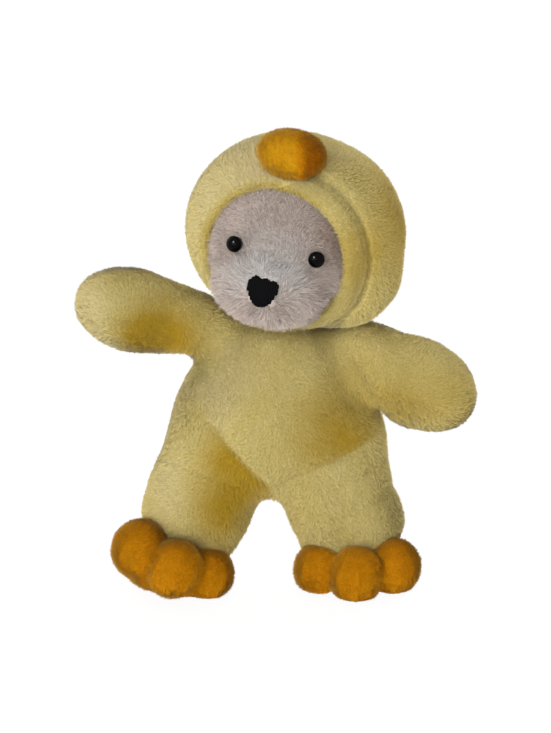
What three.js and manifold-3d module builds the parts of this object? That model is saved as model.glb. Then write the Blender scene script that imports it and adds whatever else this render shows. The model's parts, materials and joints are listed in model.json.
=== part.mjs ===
// A plush bear sewn into a chick costume: yellow hood, body, arms and legs, an orange bill on the brow and
// orange feet with three toes. Millimetres and degrees, +Z up, the bear faces -Y, its left hand is on +X.
// The origin is on the floor under the middle of the bear.
import * as THREE from 'three';
import { mergeVertices } from 'three/addons/utils/BufferGeometryUtils.js';
import Module from 'manifold-3d';

const wasm = await Module();
wasm.setup();

// Fabric and clearances.
const PLUSH = 4; // plush fabric with its pile
const SEAM_GAP = 0.3; // between pieces that are sewn or pressed together
const NECK_CLEARANCE = 0.8; // round the neck, which turns in the collar
const HEAD_CLEARANCE = 1.5; // between the arms and the turning head
const CROTCH_GAP = 2; // between the legs
const SOLE_FLAT = 3; // depth of the flat that the stuffing's weight presses under each foot

// Torso, measured up from the crotch.
const HIP_HEIGHT = 32;
const HIP_WIDTH = 134;
const HIP_DEPTH = 80;
const WAIST_HEIGHT = 58;
const WAIST_WIDTH = 116;
const WAIST_DEPTH = 79;
const CHEST_HEIGHT = 82;
const CHEST_WIDTH = 94;
const CHEST_DEPTH = 68;
const COLLAR_HEIGHT = 100;
const COLLAR_WIDTH = 62;
const COLLAR_DEPTH = 52;
const COLLAR_CAP = 8;
const CROTCH_HEIGHT = 59; // above the floor
const CROTCH_X = -2;
const TORSO_LEAN = 4; // to the bear's left
const TORSO_STOOP = 3; // forward, which keeps the weight over the feet

// Neck: a wad of stuffing that the head nods and turns on.
const NECK_RADIUS = 25;
const NECK_HEIGHT = 102.5; // above the crotch
const NECK_RISE = 8; // from the middle of the neck to the flat under the head
const HEAD_NOD = 12; // either way

// Head and hood.
const HEAD_WIDTH = 132;
const HEAD_DEPTH = 114;
const HEAD_HEIGHT = 120;
const HEAD_SEAT = 8; // depth of the flat under the head, which meets the neck
const HEAD_ROLL = 3.5; // more than the torso leans
const HEAD_YAW = 15.5; // towards the bear's right
const HEAD_PITCH = 1; // looking down, on top of the stoop
const FACE_OPENING = 0.7 * HEAD_HEIGHT;
const FACE_DROP = 7; // of the opening below the middle of the head
const FACE_TUCK = 6; // of the face under the hood's edge
const HOOD_BAND = 15; // width of the band round the opening

// Muzzle, eyes and nose.
const MUZZLE_WIDTH = 68;
const MUZZLE_DEPTH = 54;
const MUZZLE_HEIGHT = 44;
const MUZZLE_SET_BACK = 13; // of its middle, behind the front of the head
const MUZZLE_DROP = 24;
const EYE_DIAMETER = 9;
const EYE_SPACING = 49;
const EYE_DROP = 1;
const EYE_DOME = 3.8;
const SHANK_DIAMETER = 3;
const SHANK_LENGTH = 13;
const WASHER_DIAMETER = 12;
const WASHER_THICKNESS = 1.6;
const SHANK_CLEARANCE = 0.25;
const WASHER_SETBACK = 1.5; // behind the fabric, which is round there
const NOSE_WIDTH = 18;
const NOSE_HEIGHT = 17;
const NOSE_DROP = 20;
const THREAD = 1.6; // thickness of embroidery

// Bill and the chick's eyes on the hood.
const BILL_WIDTH = 42;
const BILL_LENGTH = 36;
const BILL_HEIGHT = 31;
const BILL_ELEVATION = 54; // above straight ahead, seen from the middle of the head
const BILL_STAND_OFF = 7; // of the bill's middle, outside the hood
const BILL_DROOP = 26; // of the bill's own axis, below the line from the head's middle
const CHICK_EYE_DIAMETER = 5;
const CHICK_EYE_SPACING = 20;
const CHICK_EYE_ELEVATION = 76;

// Arms, measured out from the shoulder.
const SHOULDER_X = 25;
const SHOULDER_HEIGHT = 96.5; // above the crotch
const ARM_ROOT_WIDTH = 38;
const ARM_ROOT_DEPTH = 32;
const ARM_ROOT_CAP = 8;
const ARM_BEND = 32; // where the arm begins to swell
const ARM_BEND_WIDTH = 41;
const ARM_BEND_DEPTH = 35;
const PAW_AT = 66;
const PAW_WIDTH = 51;
const PAW_DEPTH = 43;
const PAW_CAP = 34;
const SHOULDER_HINGE_X = 38;
const SHOULDER_HINGE_FRONT = 22; // the seam at the front of the shoulder
const SHOULDER_SEAM_TILT = 20; // the seam leans inward to the top

// Legs, measured up from the ankle.
const ANKLE_CAP = 8;
const ANKLE_WIDTH = 60;
const ANKLE_DEPTH = 52;
const KNEE_AT = 34;
const KNEE_WIDTH = 63;
const KNEE_DEPTH = 58;
const THIGH_AT = 52;
const THIGH_WIDTH = 65;
const THIGH_DEPTH = 64;
const THIGH_CAP = 20;
const HIP_HINGE_AT = 60; // the crease at the front of the hip
const HIP_HINGE_FRONT = 2; // of the crease, ahead of the thigh
const LEG_SPLAY = 20;
const LEG_SWING = 75; // forward, so that the bear can sit

// Feet.
const FOOT_WIDTH = 66;
const FOOT_LENGTH = 72;
const FOOT_FORWARD = 3; // of its middle, ahead of the ankle
const FOOT_HEIGHT = 31.5;
const BASE_ROLL_SHARE = 0.4; // how much of its toes' roll the base of a foot shares
const SIDE_TOE_X = 22;
const SIDE_TOE_FORWARD = 21;
const SIDE_TOE_WIDTH = 29.4;
const SIDE_TOE_LENGTH = 34;
const SIDE_TOE_HEIGHT = 31.5;
const MIDDLE_TOE_FORWARD = 35;
const MIDDLE_TOE_WIDTH = 32;
const MIDDLE_TOE_LENGTH = 34;
const MIDDLE_TOE_HEIGHT = 33.5;

// Where the ankles are: outward from the middle, ahead of the torso and above the floor.
const LEFT_ANKLE_OUT = 52.5;
const LEFT_ANKLE_AHEAD = 3;
const LEFT_ANKLE_HEIGHT = 18.9;
const LEFT_FOOT_OUT = -2; // of the foot, from its ankle
const RIGHT_ANKLE_OUT = 56.7;
const RIGHT_ANKLE_AHEAD = 12;
const RIGHT_ANKLE_HEIGHT = 26.2;
const RIGHT_FOOT_OUT = 2.3;

// How each side's limbs lie: side is +1 on the bear's left. Angles are in degrees, an arm is raised from
// straight out to the side, and toeRoll lifts the outer toes.
const SIDES = [
  {
    name: 'left', side: 1, armRaise: -18, armForward: 10, legForward: 0, toeRoll: 0,
    ankle: [LEFT_ANKLE_OUT, -LEFT_ANKLE_AHEAD, LEFT_ANKLE_HEIGHT], footOut: LEFT_FOOT_OUT,
  },
  {
    name: 'right', side: -1, armRaise: 10, armForward: 0, legForward: 13, toeRoll: 22,
    ankle: [-RIGHT_ANKLE_OUT, -RIGHT_ANKLE_AHEAD, RIGHT_ANKLE_HEIGHT], footOut: RIGHT_FOOT_OUT,
  },
];

// The places of a leg's swing at which it clears the torso.
const SWING_SHARES = [0, 0.06, 0.14, 0.28, 0.48, 0.72];

// How finely round things are faceted.
const FORM_SIDES = 14;
const SPAN_STEPS = 2;
const CAP_STEPS = 3;
const HEAD_SIDES = 18;
const HEAD_STEPS = 10;
const SMALL_SIDES = 8;
const SMALL_STEPS = 6;
const DOME_STEPS = 4;
const NOSE_STEPS = 5;
const FAR = 600; // longer than any piece
const SIDEWAYS = 90; // the turn from straight up to straight out

const rad = THREE.MathUtils.degToRad;
const PLUS_X = new THREE.Vector3(1, 0, 0);
const PLUS_Y = new THREE.Vector3(0, 1, 0);
const PLUS_Z = new THREE.Vector3(0, 0, 1);
const MINUS_Y = PLUS_Y.clone().negate();
const MINUS_Z = PLUS_Z.clone().negate();

const plush = (color) => new THREE.MeshStandardMaterial({ color, roughness: 0.95, metalness: 0 });
const YELLOW = plush('#d9c98c');
const CREAM = plush('#cdc2ba');
const ORANGE = plush('#cf8d1c');
const FIBRE = plush('#f1f0ec');
const THREADS = plush('#15130f');
const EYE_PLASTIC = new THREE.MeshStandardMaterial({ color: '#0b0a0a', roughness: 0.08, metalness: 0 });
const WASHER_PLASTIC = new THREE.MeshStandardMaterial({ color: '#e6e4dc', roughness: 0.4, metalness: 0 });

// A closed geometry as a solid, moved by a matrix.
function solid(geometry, matrix = new THREE.Matrix4()) {
  const bare = geometry.clone().applyMatrix4(matrix);
  bare.deleteAttribute('normal');
  bare.deleteAttribute('uv');
  const merged = mergeVertices(bare);
  const corners = merged.index.array;
  const faces = [];
  for (let i = 0; i < corners.length; i += 3) {
    const [a, b, c] = corners.slice(i, i + 3);
    if (a !== b && b !== c && c !== a) {
      faces.push(a, b, c);
    }
  }
  return new wasm.Manifold(new wasm.Mesh({
    numProp: 3,
    vertProperties: new Float32Array(merged.attributes.position.array),
    triVerts: new Uint32Array(faces),
  }));
}

// A solid as a named mesh.
function piece(name, made, material) {
  const { vertProperties, triVerts } = made.getMesh();
  const geometry = new THREE.BufferGeometry();
  geometry.setAttribute('position', new THREE.BufferAttribute(vertProperties, 3));
  geometry.setIndex(new THREE.BufferAttribute(triVerts, 1));
  geometry.computeVertexNormals();
  const mesh = new THREE.Mesh(geometry, material);
  mesh.name = name;
  return mesh;
}

// Everything on one side of a plane: the side that the normal points to, from the given distance on.
function halfSpace(normal, distance) {
  const box = new THREE.BoxGeometry(FAR, FAR, FAR);
  box.translate(0, 0, FAR / 2 + distance);
  const turn = new THREE.Quaternion().setFromUnitVectors(PLUS_Z, normal);
  return solid(box.applyQuaternion(turn));
}

// The two halves of a solid, cut across a direction at a distance, with a seam's gap between them.
function halves(made, direction, distance = 0) {
  const beyond = halfSpace(direction, distance + SEAM_GAP / 2);
  const before = halfSpace(direction.clone().negate(), -distance + SEAM_GAP / 2);
  return [made.intersect(beyond), made.intersect(before)];
}

// An ellipsoid with its poles up and down, drawn in by inset.
function ellipsoid(width, depth, height, inset = 0, sides = SMALL_SIDES, steps = SMALL_STEPS) {
  const ball = new THREE.SphereGeometry(1, sides, steps).rotateX(Math.PI / 2);
  return ball.scale(width / 2 - inset, depth / 2 - inset, height / 2 - inset);
}

// The rings of a stuffed form: a round cap, a smooth run through the stations, and another round cap.
function profile({ stations, capBelow, capAbove }) {
  const points = stations.map(({ at, width, depth }) => new THREE.Vector3(width / 2, depth / 2, at));
  const curve = new THREE.CatmullRomCurve3(points, false, 'centripetal');
  const first = points[0];
  const last = points[points.length - 1];
  const cap = (ring, length, angle) => new THREE.Vector3(
    ring.x * Math.cos(angle), ring.y * Math.cos(angle), ring.z + length * Math.sin(angle));
  const rings = [];
  for (let i = 0; i < CAP_STEPS; i += 1) {
    rings.push(cap(first, capBelow, (i / CAP_STEPS - 1) * Math.PI / 2));
  }
  const steps = SPAN_STEPS * (points.length - 1);
  for (let i = 0; i <= steps; i += 1) {
    rings.push(curve.getPoint(i / steps));
  }
  for (let i = 1; i <= CAP_STEPS; i += 1) {
    rings.push(cap(last, capAbove, (i / CAP_STEPS) * Math.PI / 2));
  }
  return rings;
}

// The same rings drawn in by inset, square to the form's surface.
function drawnIn(rings, inset) {
  return rings.map((ring, i) => {
    const before = rings[Math.max(i - 1, 0)];
    const after = rings[Math.min(i + 1, rings.length - 1)];
    const rise = after.z - before.z;
    const spread = (after.x + after.y - before.x - before.y) / 2;
    const length = Math.hypot(rise, spread);
    const atPole = i === 0 || i === rings.length - 1;
    if (atPole) {
      return new THREE.Vector3(0, 0, ring.z + inset * Math.sign(spread));
    }
    const inward = inset * rise / length;
    return new THREE.Vector3(ring.x - inward, ring.y - inward, ring.z + inset * spread / length);
  });
}

// A stuffed form as a closed geometry round its own Z axis, drawn in by inset.
function stuffed(form, inset = 0) {
  const rings = drawnIn(profile(form), inset);
  const top = rings.length - 1;
  const positions = [0, 0, rings[0].z];
  const faces = [];
  const corner = (ring, side) => 1 + (ring - 1) * FORM_SIDES + (side % FORM_SIDES);
  for (const ring of rings.slice(1, top)) {
    for (let side = 0; side < FORM_SIDES; side += 1) {
      const angle = side / FORM_SIDES * Math.PI * 2;
      positions.push(ring.x * Math.cos(angle), ring.y * Math.sin(angle), ring.z);
    }
  }
  const pole = positions.length / 3;
  positions.push(0, 0, rings[top].z);
  for (let side = 0; side < FORM_SIDES; side += 1) {
    faces.push(0, corner(1, side + 1), corner(1, side));
    for (let ring = 1; ring < top - 1; ring += 1) {
      faces.push(corner(ring, side), corner(ring, side + 1), corner(ring + 1, side + 1));
      faces.push(corner(ring, side), corner(ring + 1, side + 1), corner(ring + 1, side));
    }
    faces.push(pole, corner(top - 1, side), corner(top - 1, side + 1));
  }
  const geometry = new THREE.BufferGeometry();
  geometry.setAttribute('position', new THREE.Float32BufferAttribute(positions, 3));
  geometry.setIndex(faces);
  return geometry;
}

// A group at a place in its parent, turned about X, Y and Z in degrees.
function frame(parent, place, turn = [0, 0, 0], order = 'XYZ') {
  const group = new THREE.Group();
  group.position.set(...place);
  group.rotation.set(...turn.map(rad), order);
  parent.add(group);
  group.updateWorldMatrix(true, false);
  return group;
}

// The matrix that brings a thing drawn in one group into another group.
function into(group, from) {
  return group.matrixWorld.clone().invert().multiply(from.matrixWorld);
}

const bear = new THREE.Group();
bear.name = 'dress_up_plush_bear';

// The torso swells from the crotch to the hips and tapers to the collar. Its covers are made last.
const TORSO = {
  stations: [
    { at: HIP_HEIGHT, width: HIP_WIDTH, depth: HIP_DEPTH },
    { at: WAIST_HEIGHT, width: WAIST_WIDTH, depth: WAIST_DEPTH },
    { at: CHEST_HEIGHT, width: CHEST_WIDTH, depth: CHEST_DEPTH },
    { at: COLLAR_HEIGHT, width: COLLAR_WIDTH, depth: COLLAR_DEPTH },
  ],
  capBelow: HIP_HEIGHT,
  capAbove: COLLAR_CAP,
};
const torso = frame(bear, [CROTCH_X, 0, CROTCH_HEIGHT], [TORSO_STOOP, TORSO_LEAN, 0]);
const neck = frame(torso, [0, 0, NECK_HEIGHT], [0, HEAD_ROLL, 0]);
const neckBall = (grown) => {
  const radius = NECK_RADIUS + grown;
  return new THREE.SphereGeometry(radius, FORM_SIDES, SMALL_STEPS + 2).rotateX(Math.PI / 2);
};

// Neck, cut off flat under the head.
const underHead = halfSpace(MINUS_Z, -NECK_RISE + SEAM_GAP);
const neckCover = solid(neckBall(0)).subtract(solid(neckBall(-PLUSH)));
neck.add(piece('neck_cover', neckCover.intersect(underHead), YELLOW));
neck.add(piece('neck_stuffing', solid(neckBall(-PLUSH - SEAM_GAP)).intersect(underHead), FIBRE));

// Head. Its middle is above the neck's, and it looks a little down and to the bear's right.
const head = frame(neck, [0, 0, NECK_RISE + HEAD_HEIGHT / 2 - HEAD_SEAT], [HEAD_PITCH, 0, -HEAD_YAW], 'ZYX');
const headForm = (inset) => ellipsoid(HEAD_WIDTH, HEAD_DEPTH, HEAD_HEIGHT, inset, HEAD_SIDES, HEAD_STEPS);
const neckFlat = solid(new THREE.BoxGeometry(FAR, FAR, FAR).translate(0, 0, -FAR / 2 + NECK_RISE),
  into(head, neck));
const fromFront = (diameter) => {
  const tube = new THREE.CylinderGeometry(diameter / 2, diameter / 2, FAR, HEAD_SIDES);
  return solid(tube.translate(0, -FAR / 2, 0).translate(0, 0, -FACE_DROP));
};
const FACE_INSET = PLUSH + SEAM_GAP;
const MUZZLE_FORWARD = HEAD_DEPTH / 2 - MUZZLE_SET_BACK;
const faceDepthAt = (x, z, inset) => {
  const across = x / (HEAD_WIDTH / 2 - inset);
  const up = z / (HEAD_HEIGHT / 2 - inset);
  return -(HEAD_DEPTH / 2 - inset) * Math.sqrt(1 - across * across - up * up);
};
const muzzleForm = (inset) => solid(
  ellipsoid(MUZZLE_WIDTH, MUZZLE_DEPTH, MUZZLE_HEIGHT, inset, FORM_SIDES, SMALL_STEPS)
    .translate(0, -MUZZLE_FORWARD, -MUZZLE_DROP));

// The hood's cover, open round the face, with a band round the opening and two panels that meet behind.
const hood = solid(headForm(0)).subtract(solid(headForm(PLUSH))).subtract(fromFront(FACE_OPENING))
  .subtract(muzzleForm(-SEAM_GAP)).subtract(neckFlat);
const bandDiameter = FACE_OPENING + 2 * HOOD_BAND;
head.add(piece('hood_front_band', hood.intersect(fromFront(bandDiameter - SEAM_GAP)), YELLOW));
const hoodSides = hood.subtract(fromFront(bandDiameter + SEAM_GAP));
const [hoodLeft, hoodRight] = halves(hoodSides, PLUS_X);
head.add(piece('hood_left_panel', hoodLeft, YELLOW));
head.add(piece('hood_right_panel', hoodRight, YELLOW));

// The face: two forehead panels tucked under the hood's edge, two muzzle panels and a pair of safety eyes.
const faceEdge = FACE_OPENING + 2 * FACE_TUCK;
const faceInner = solid(headForm(FACE_INSET + PLUSH));
const aboveMuzzleMiddle = halfSpace(PLUS_Z, -MUZZLE_DROP);
const eyes = [1, -1].map((side) => {
  const x = side * EYE_SPACING / 2;
  const place = new THREE.Vector3(x, faceDepthAt(x, -EYE_DROP, FACE_INSET), -EYE_DROP);
  const outward = new THREE.Vector3(
    place.x / (HEAD_WIDTH / 2) ** 2, place.y / (HEAD_DEPTH / 2) ** 2, place.z / (HEAD_HEIGHT / 2) ** 2);
  const turn = new THREE.Quaternion().setFromUnitVectors(PLUS_Z, outward.normalize());
  return { side, matrix: new THREE.Matrix4().compose(place, turn, new THREE.Vector3(1, 1, 1)) };
});
const turned = (profileOf) => {
  const points = profileOf.map(([radius, along]) => new THREE.Vector2(radius, along));
  return new THREE.LatheGeometry(points, SMALL_SIDES).rotateX(Math.PI / 2);
};
const shankRadius = SHANK_DIAMETER / 2;
const eyeProfile = [[0, -SHANK_LENGTH], [shankRadius, -SHANK_LENGTH], [shankRadius, SEAM_GAP]];
for (let i = 0; i < DOME_STEPS; i += 1) {
  const angle = i / DOME_STEPS * Math.PI / 2;
  eyeProfile.push([EYE_DIAMETER / 2 * Math.cos(angle), SEAM_GAP + EYE_DOME * Math.sin(angle)]);
}
eyeProfile.push([0, SEAM_GAP + EYE_DOME]);
const eyeGeometry = turned(eyeProfile);
const washerFront = -PLUSH - WASHER_SETBACK;
const washerBack = washerFront - WASHER_THICKNESS;
const washerHole = shankRadius + SHANK_CLEARANCE;
const washerRadius = WASHER_DIAMETER / 2;
const washerGeometry = turned([
  [washerHole, washerBack], [washerRadius, washerBack],
  [washerRadius, washerFront], [washerHole, washerFront], [washerHole, washerBack],
]);
const bore = (radius, from, to, matrix) => solid(
  turned([[0, from], [radius, from], [radius, to], [0, to]]), matrix);

let forehead = solid(headForm(FACE_INSET)).subtract(faceInner).intersect(fromFront(faceEdge))
  .subtract(muzzleForm(-SEAM_GAP)).intersect(aboveMuzzleMiddle);
let headFill = solid(headForm(FACE_INSET)).subtract(fromFront(faceEdge + 2 * SEAM_GAP))
  .add(solid(headForm(FACE_INSET + PLUSH + SEAM_GAP))).add(muzzleForm(PLUSH + SEAM_GAP)).subtract(neckFlat);
let muzzle = muzzleForm(0).subtract(muzzleForm(PLUSH)).subtract(faceInner).intersect(halfSpace(MINUS_Y, 0));
for (const { side, matrix } of eyes) {
  const name = side > 0 ? 'left' : 'right';
  head.add(piece(`eye_${name}`, solid(eyeGeometry, matrix), EYE_PLASTIC));
  head.add(piece(`eye_washer_${name}`, solid(washerGeometry, matrix), WASHER_PLASTIC));
  const pocket = (top) => bore(washerRadius + SEAM_GAP, -SHANK_LENGTH - SEAM_GAP, top, matrix);
  forehead = forehead.subtract(bore(washerHole, -SHANK_LENGTH, EYE_DOME, matrix))
    .subtract(pocket(washerFront + SEAM_GAP));
  muzzle = muzzle.subtract(pocket(washerFront + SEAM_GAP));
  headFill = headFill.subtract(pocket(0));
}
const [foreheadLeft, foreheadRight] = halves(forehead, PLUS_X);
head.add(piece('forehead_left_panel', foreheadLeft, CREAM));
head.add(piece('forehead_right_panel', foreheadRight, CREAM));
const [muzzleLeft, muzzleRight] = halves(muzzle, PLUS_X);
head.add(piece('muzzle_left_panel', muzzleLeft, CREAM));
head.add(piece('muzzle_right_panel', muzzleRight, CREAM));
head.add(piece('head_stuffing', headFill, FIBRE));

// The nose is satin stitch over the muzzle: a shield, wide on top and round at the point.
const shield = new THREE.Shape();
shield.moveTo(0, NOSE_HEIGHT / 2);
shield.quadraticCurveTo(NOSE_WIDTH / 2, NOSE_HEIGHT / 2, NOSE_WIDTH / 2, NOSE_HEIGHT / 4);
shield.quadraticCurveTo(NOSE_WIDTH / 3, -NOSE_HEIGHT / 2, 0, -NOSE_HEIGHT / 2);
shield.quadraticCurveTo(-NOSE_WIDTH / 3, -NOSE_HEIGHT / 2, -NOSE_WIDTH / 2, NOSE_HEIGHT / 4);
shield.quadraticCurveTo(-NOSE_WIDTH / 2, NOSE_HEIGHT / 2, 0, NOSE_HEIGHT / 2);
const noseCut = { depth: FAR, bevelEnabled: false, curveSegments: NOSE_STEPS };
const nosePrism = new THREE.ExtrudeGeometry(shield, noseCut)
  .rotateX(Math.PI / 2).translate(0, -MUZZLE_FORWARD, -NOSE_DROP);
const nose = muzzleForm(-SEAM_GAP - THREAD).subtract(muzzleForm(-SEAM_GAP)).intersect(solid(nosePrism));
head.add(piece('nose_stitching', nose, THREADS));

// Bill: a stuffed ball of its own, sewn on the brow.
const ahead = Math.cos(rad(BILL_ELEVATION));
const aloft = Math.sin(rad(BILL_ELEVATION));
const hoodRadius = 1 / Math.hypot(ahead / (HEAD_DEPTH / 2), aloft / (HEAD_HEIGHT / 2));
const billReach = hoodRadius + BILL_STAND_OFF;
const billFrame = new THREE.Matrix4().makeTranslation(0, -billReach * ahead, billReach * aloft);
billFrame.multiply(new THREE.Matrix4().makeRotationX(-rad(BILL_ELEVATION - BILL_DROOP)));
const billForm = (inset) => solid(
  ellipsoid(BILL_WIDTH, BILL_LENGTH, BILL_HEIGHT, inset, FORM_SIDES, SMALL_STEPS + 2), billFrame);
const offHood = solid(headForm(-SEAM_GAP));
const billSeam = PLUS_Z.clone().transformDirection(billFrame);
const billMiddle = billSeam.dot(new THREE.Vector3().setFromMatrixPosition(billFrame));
const billShell = billForm(0).subtract(billForm(PLUSH)).subtract(offHood);
const [billUpper, billLower] = halves(billShell, billSeam, billMiddle);
head.add(piece('bill_upper_panel', billUpper, ORANGE));
head.add(piece('bill_lower_panel', billLower, ORANGE));
head.add(piece('bill_stuffing', billForm(PLUSH + SEAM_GAP).subtract(offHood), FIBRE));

// The chick's eyes: dots of thread on the hood, above the bill.
const dotLayer = solid(headForm(-SEAM_GAP - THREAD)).subtract(offHood);
for (const side of [1, -1]) {
  const angle = rad(CHICK_EYE_ELEVATION);
  const place = new THREE.Vector3(side * CHICK_EYE_SPACING / 2,
    -HEAD_DEPTH / 2 * Math.cos(angle), HEAD_HEIGHT / 2 * Math.sin(angle));
  const turn = new THREE.Quaternion().setFromUnitVectors(PLUS_Z, place.clone().normalize());
  const dot = new THREE.Matrix4().compose(place, turn, new THREE.Vector3(1, 1, 1));
  const name = side > 0 ? 'left' : 'right';
  head.add(piece(`chick_eye_${name}`,
    dotLayer.intersect(bore(CHICK_EYE_DIAMETER / 2, -CHICK_EYE_DIAMETER, CHICK_EYE_DIAMETER, dot)), THREADS));
}

// The room that the torso and the neck take, and what the head sweeps as it moves, in the frame of a group.
const torsoRoom = (group) => solid(stuffed(TORSO, -SEAM_GAP), into(group, torso));
const neckRoom = (group) => solid(neckBall(NECK_CLEARANCE), into(group, neck));
function headRoom(group) {
  const width = Math.max(HEAD_WIDTH, HEAD_DEPTH);
  const sweep = ellipsoid(width, width, HEAD_HEIGHT, -HEAD_CLEARANCE, HEAD_SIDES, HEAD_STEPS);
  const nodded = [-HEAD_NOD, 0, HEAD_NOD].map((angle) => {
    const turn = new THREE.Matrix4().makeRotationX(rad(angle));
    return solid(sweep, into(group, neck).multiply(turn).multiply(into(neck, head)));
  });
  return nodded[0].add(nodded[1]).add(nodded[2]);
}

const ARM = {
  stations: [
    { at: ARM_ROOT_CAP, width: ARM_ROOT_WIDTH, depth: ARM_ROOT_DEPTH },
    { at: ARM_BEND, width: ARM_BEND_WIDTH, depth: ARM_BEND_DEPTH },
    { at: PAW_AT, width: PAW_WIDTH, depth: PAW_DEPTH },
  ],
  capBelow: ARM_ROOT_CAP,
  capAbove: PAW_CAP,
};
const LEG = {
  stations: [
    { at: ANKLE_CAP, width: ANKLE_WIDTH, depth: ANKLE_DEPTH },
    { at: KNEE_AT, width: KNEE_WIDTH, depth: KNEE_DEPTH },
    { at: THIGH_AT, width: THIGH_WIDTH, depth: THIGH_DEPTH },
  ],
  capBelow: ANKLE_CAP,
  capAbove: THIGH_CAP,
};

// The line of a foot's toes: rolled by an angle, with its lowest toe on the ground.
function toeRow(roll) {
  const height = SIDE_TOE_HEIGHT / 2 + SIDE_TOE_X * Math.sin(Math.abs(roll));
  return new THREE.Matrix4().makeTranslation(0, 0, height).multiply(new THREE.Matrix4().makeRotationY(roll));
}

// A foot: a row of three ball toes on a flatter base that the leg stands on.
function footForm(inset, roll) {
  const row = toeRow(roll);
  const base = ellipsoid(FOOT_WIDTH, FOOT_LENGTH, FOOT_HEIGHT, inset, FORM_SIDES, SMALL_STEPS);
  base.rotateY(roll * BASE_ROLL_SHARE);
  let form = solid(base.translate(0, -FOOT_FORWARD, FOOT_HEIGHT / 2));
  for (const side of [1, -1]) {
    const toe = ellipsoid(SIDE_TOE_WIDTH, SIDE_TOE_LENGTH, SIDE_TOE_HEIGHT, inset);
    form = form.add(solid(toe.translate(side * SIDE_TOE_X, -SIDE_TOE_FORWARD, 0), row));
  }
  const middle = ellipsoid(MIDDLE_TOE_WIDTH, MIDDLE_TOE_LENGTH, MIDDLE_TOE_HEIGHT, inset);
  const rise = (MIDDLE_TOE_HEIGHT - SIDE_TOE_HEIGHT) / 2;
  return form.add(solid(middle.translate(0, -MIDDLE_TOE_FORWARD, rise), row));
}

// A stuffed form's cover in two halves, and its stuffing, with room cut out of all three.
function coverAndFill(form, room, direction) {
  const grown = (inset) => solid(stuffed(form, inset));
  const cover = grown(0).subtract(grown(PLUSH)).subtract(room);
  return [...halves(cover, direction), grown(PLUSH + SEAM_GAP).subtract(room)];
}

// A group that hinges on a point of another group, and carries the groups given.
function hinge(name, place, like, carried) {
  const pivot = new THREE.Group();
  pivot.name = name;
  pivot.position.copy(like.localToWorld(place.clone()));
  pivot.quaternion.copy(like.getWorldQuaternion(new THREE.Quaternion()));
  bear.add(pivot);
  pivot.updateWorldMatrix(true, false);
  carried.forEach((group) => pivot.attach(group));
}

let torsoCut = neckRoom(torso);
for (const { name, side, armRaise, armForward, ankle, legForward, footOut, toeRoll } of SIDES) {
  const arm = frame(torso, [side * SHOULDER_X, 0, SHOULDER_HEIGHT],
    [0, side * (SIDEWAYS - armRaise), -side * armForward], 'ZYX');
  const armRoom = torsoRoom(arm).add(headRoom(arm)).add(neckRoom(arm));
  const [armBack, armFront, armFill] = coverAndFill(ARM, armRoom, PLUS_Y);
  arm.add(piece(`arm_${name}_front_panel`, armFront, YELLOW));
  arm.add(piece(`arm_${name}_back_panel`, armBack, YELLOW));
  arm.add(piece(`arm_${name}_stuffing`, armFill, FIBRE));
  const shoulder = frame(torso, [side * SHOULDER_HINGE_X, -SHOULDER_HINGE_FRONT, SHOULDER_HEIGHT],
    [0, -side * SHOULDER_SEAM_TILT, 0]);
  hinge(`shoulder_${name}`, new THREE.Vector3(), shoulder, [arm]);

  const leg = frame(bear, ankle, [-legForward, -side * LEG_SPLAY, 0], 'YXZ');
  const otherSide = solid(new THREE.BoxGeometry(FAR, FAR, FAR)
    .translate(-side * (FAR / 2 - CROTCH_GAP / 2) + CROTCH_X, 0, 0), into(leg, bear));
  const [legPlus, legMinus, legFill] = coverAndFill(LEG, otherSide, PLUS_X);
  const crease = new THREE.Vector3(0, -THIGH_DEPTH / 2 - HIP_HINGE_FRONT, HIP_HINGE_AT);
  for (const share of SWING_SHARES) {
    const swung = new THREE.Matrix4().makeTranslation(crease)
      .multiply(new THREE.Matrix4().makeRotationX(-rad(share * LEG_SWING)))
      .multiply(new THREE.Matrix4().makeTranslation(crease.clone().negate()));
    torsoCut = torsoCut.add(solid(stuffed(LEG, -SEAM_GAP), into(torso, leg).multiply(swung)));
  }
  leg.add(piece(`leg_${name}_outer_panel`, side > 0 ? legPlus : legMinus, YELLOW));
  leg.add(piece(`leg_${name}_inner_panel`, side > 0 ? legMinus : legPlus, YELLOW));
  leg.add(piece(`leg_${name}_stuffing`, legFill, FIBRE));

  // The foot is pressed flat where it meets the floor, and its seam runs round the middle of the toes.
  const [ankleX, ankleY] = ankle;
  const foot = frame(bear, [ankleX + side * footOut, ankleY, -SOLE_FLAT]);
  const footRoom = solid(stuffed(LEG, -SEAM_GAP), into(foot, leg)).add(halfSpace(MINUS_Z, -SOLE_FLAT));
  const roll = -side * rad(toeRoll);
  const row = toeRow(roll);
  const shell = footForm(0, roll).subtract(footForm(PLUSH, roll)).subtract(footRoom);
  const seam = PLUS_Z.clone().transformDirection(row);
  const [upper, sole] = halves(shell, seam, seam.dot(new THREE.Vector3().setFromMatrixPosition(row)));
  foot.add(piece(`foot_${name}_upper_panel`, upper, ORANGE));
  foot.add(piece(`foot_${name}_sole_panel`, sole, ORANGE));
  foot.add(piece(`foot_${name}_stuffing`, footForm(PLUSH + SEAM_GAP, roll).subtract(footRoom), FIBRE));
  hinge(`hip_${name}`, crease, leg, [leg, foot]);
}

// The torso's covers and stuffing, hollowed for the neck and for the tops of the legs.
const [torsoBack, torsoFront, torsoFill] = coverAndFill(TORSO, torsoCut, PLUS_Y);
torso.add(piece('torso_front_panel', torsoFront, YELLOW));
torso.add(piece('torso_back_panel', torsoBack, YELLOW));
torso.add(piece('torso_stuffing', torsoFill, FIBRE));

// The origin goes on the floor under the middle of the bear.
const standing = new THREE.Group();
standing.add(bear);
const bounds = new THREE.Box3().setFromObject(bear, true);
const middle = bounds.getCenter(new THREE.Vector3());
bear.position.set(-middle.x, -middle.y, -bounds.min.z);

export default standing;
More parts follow.
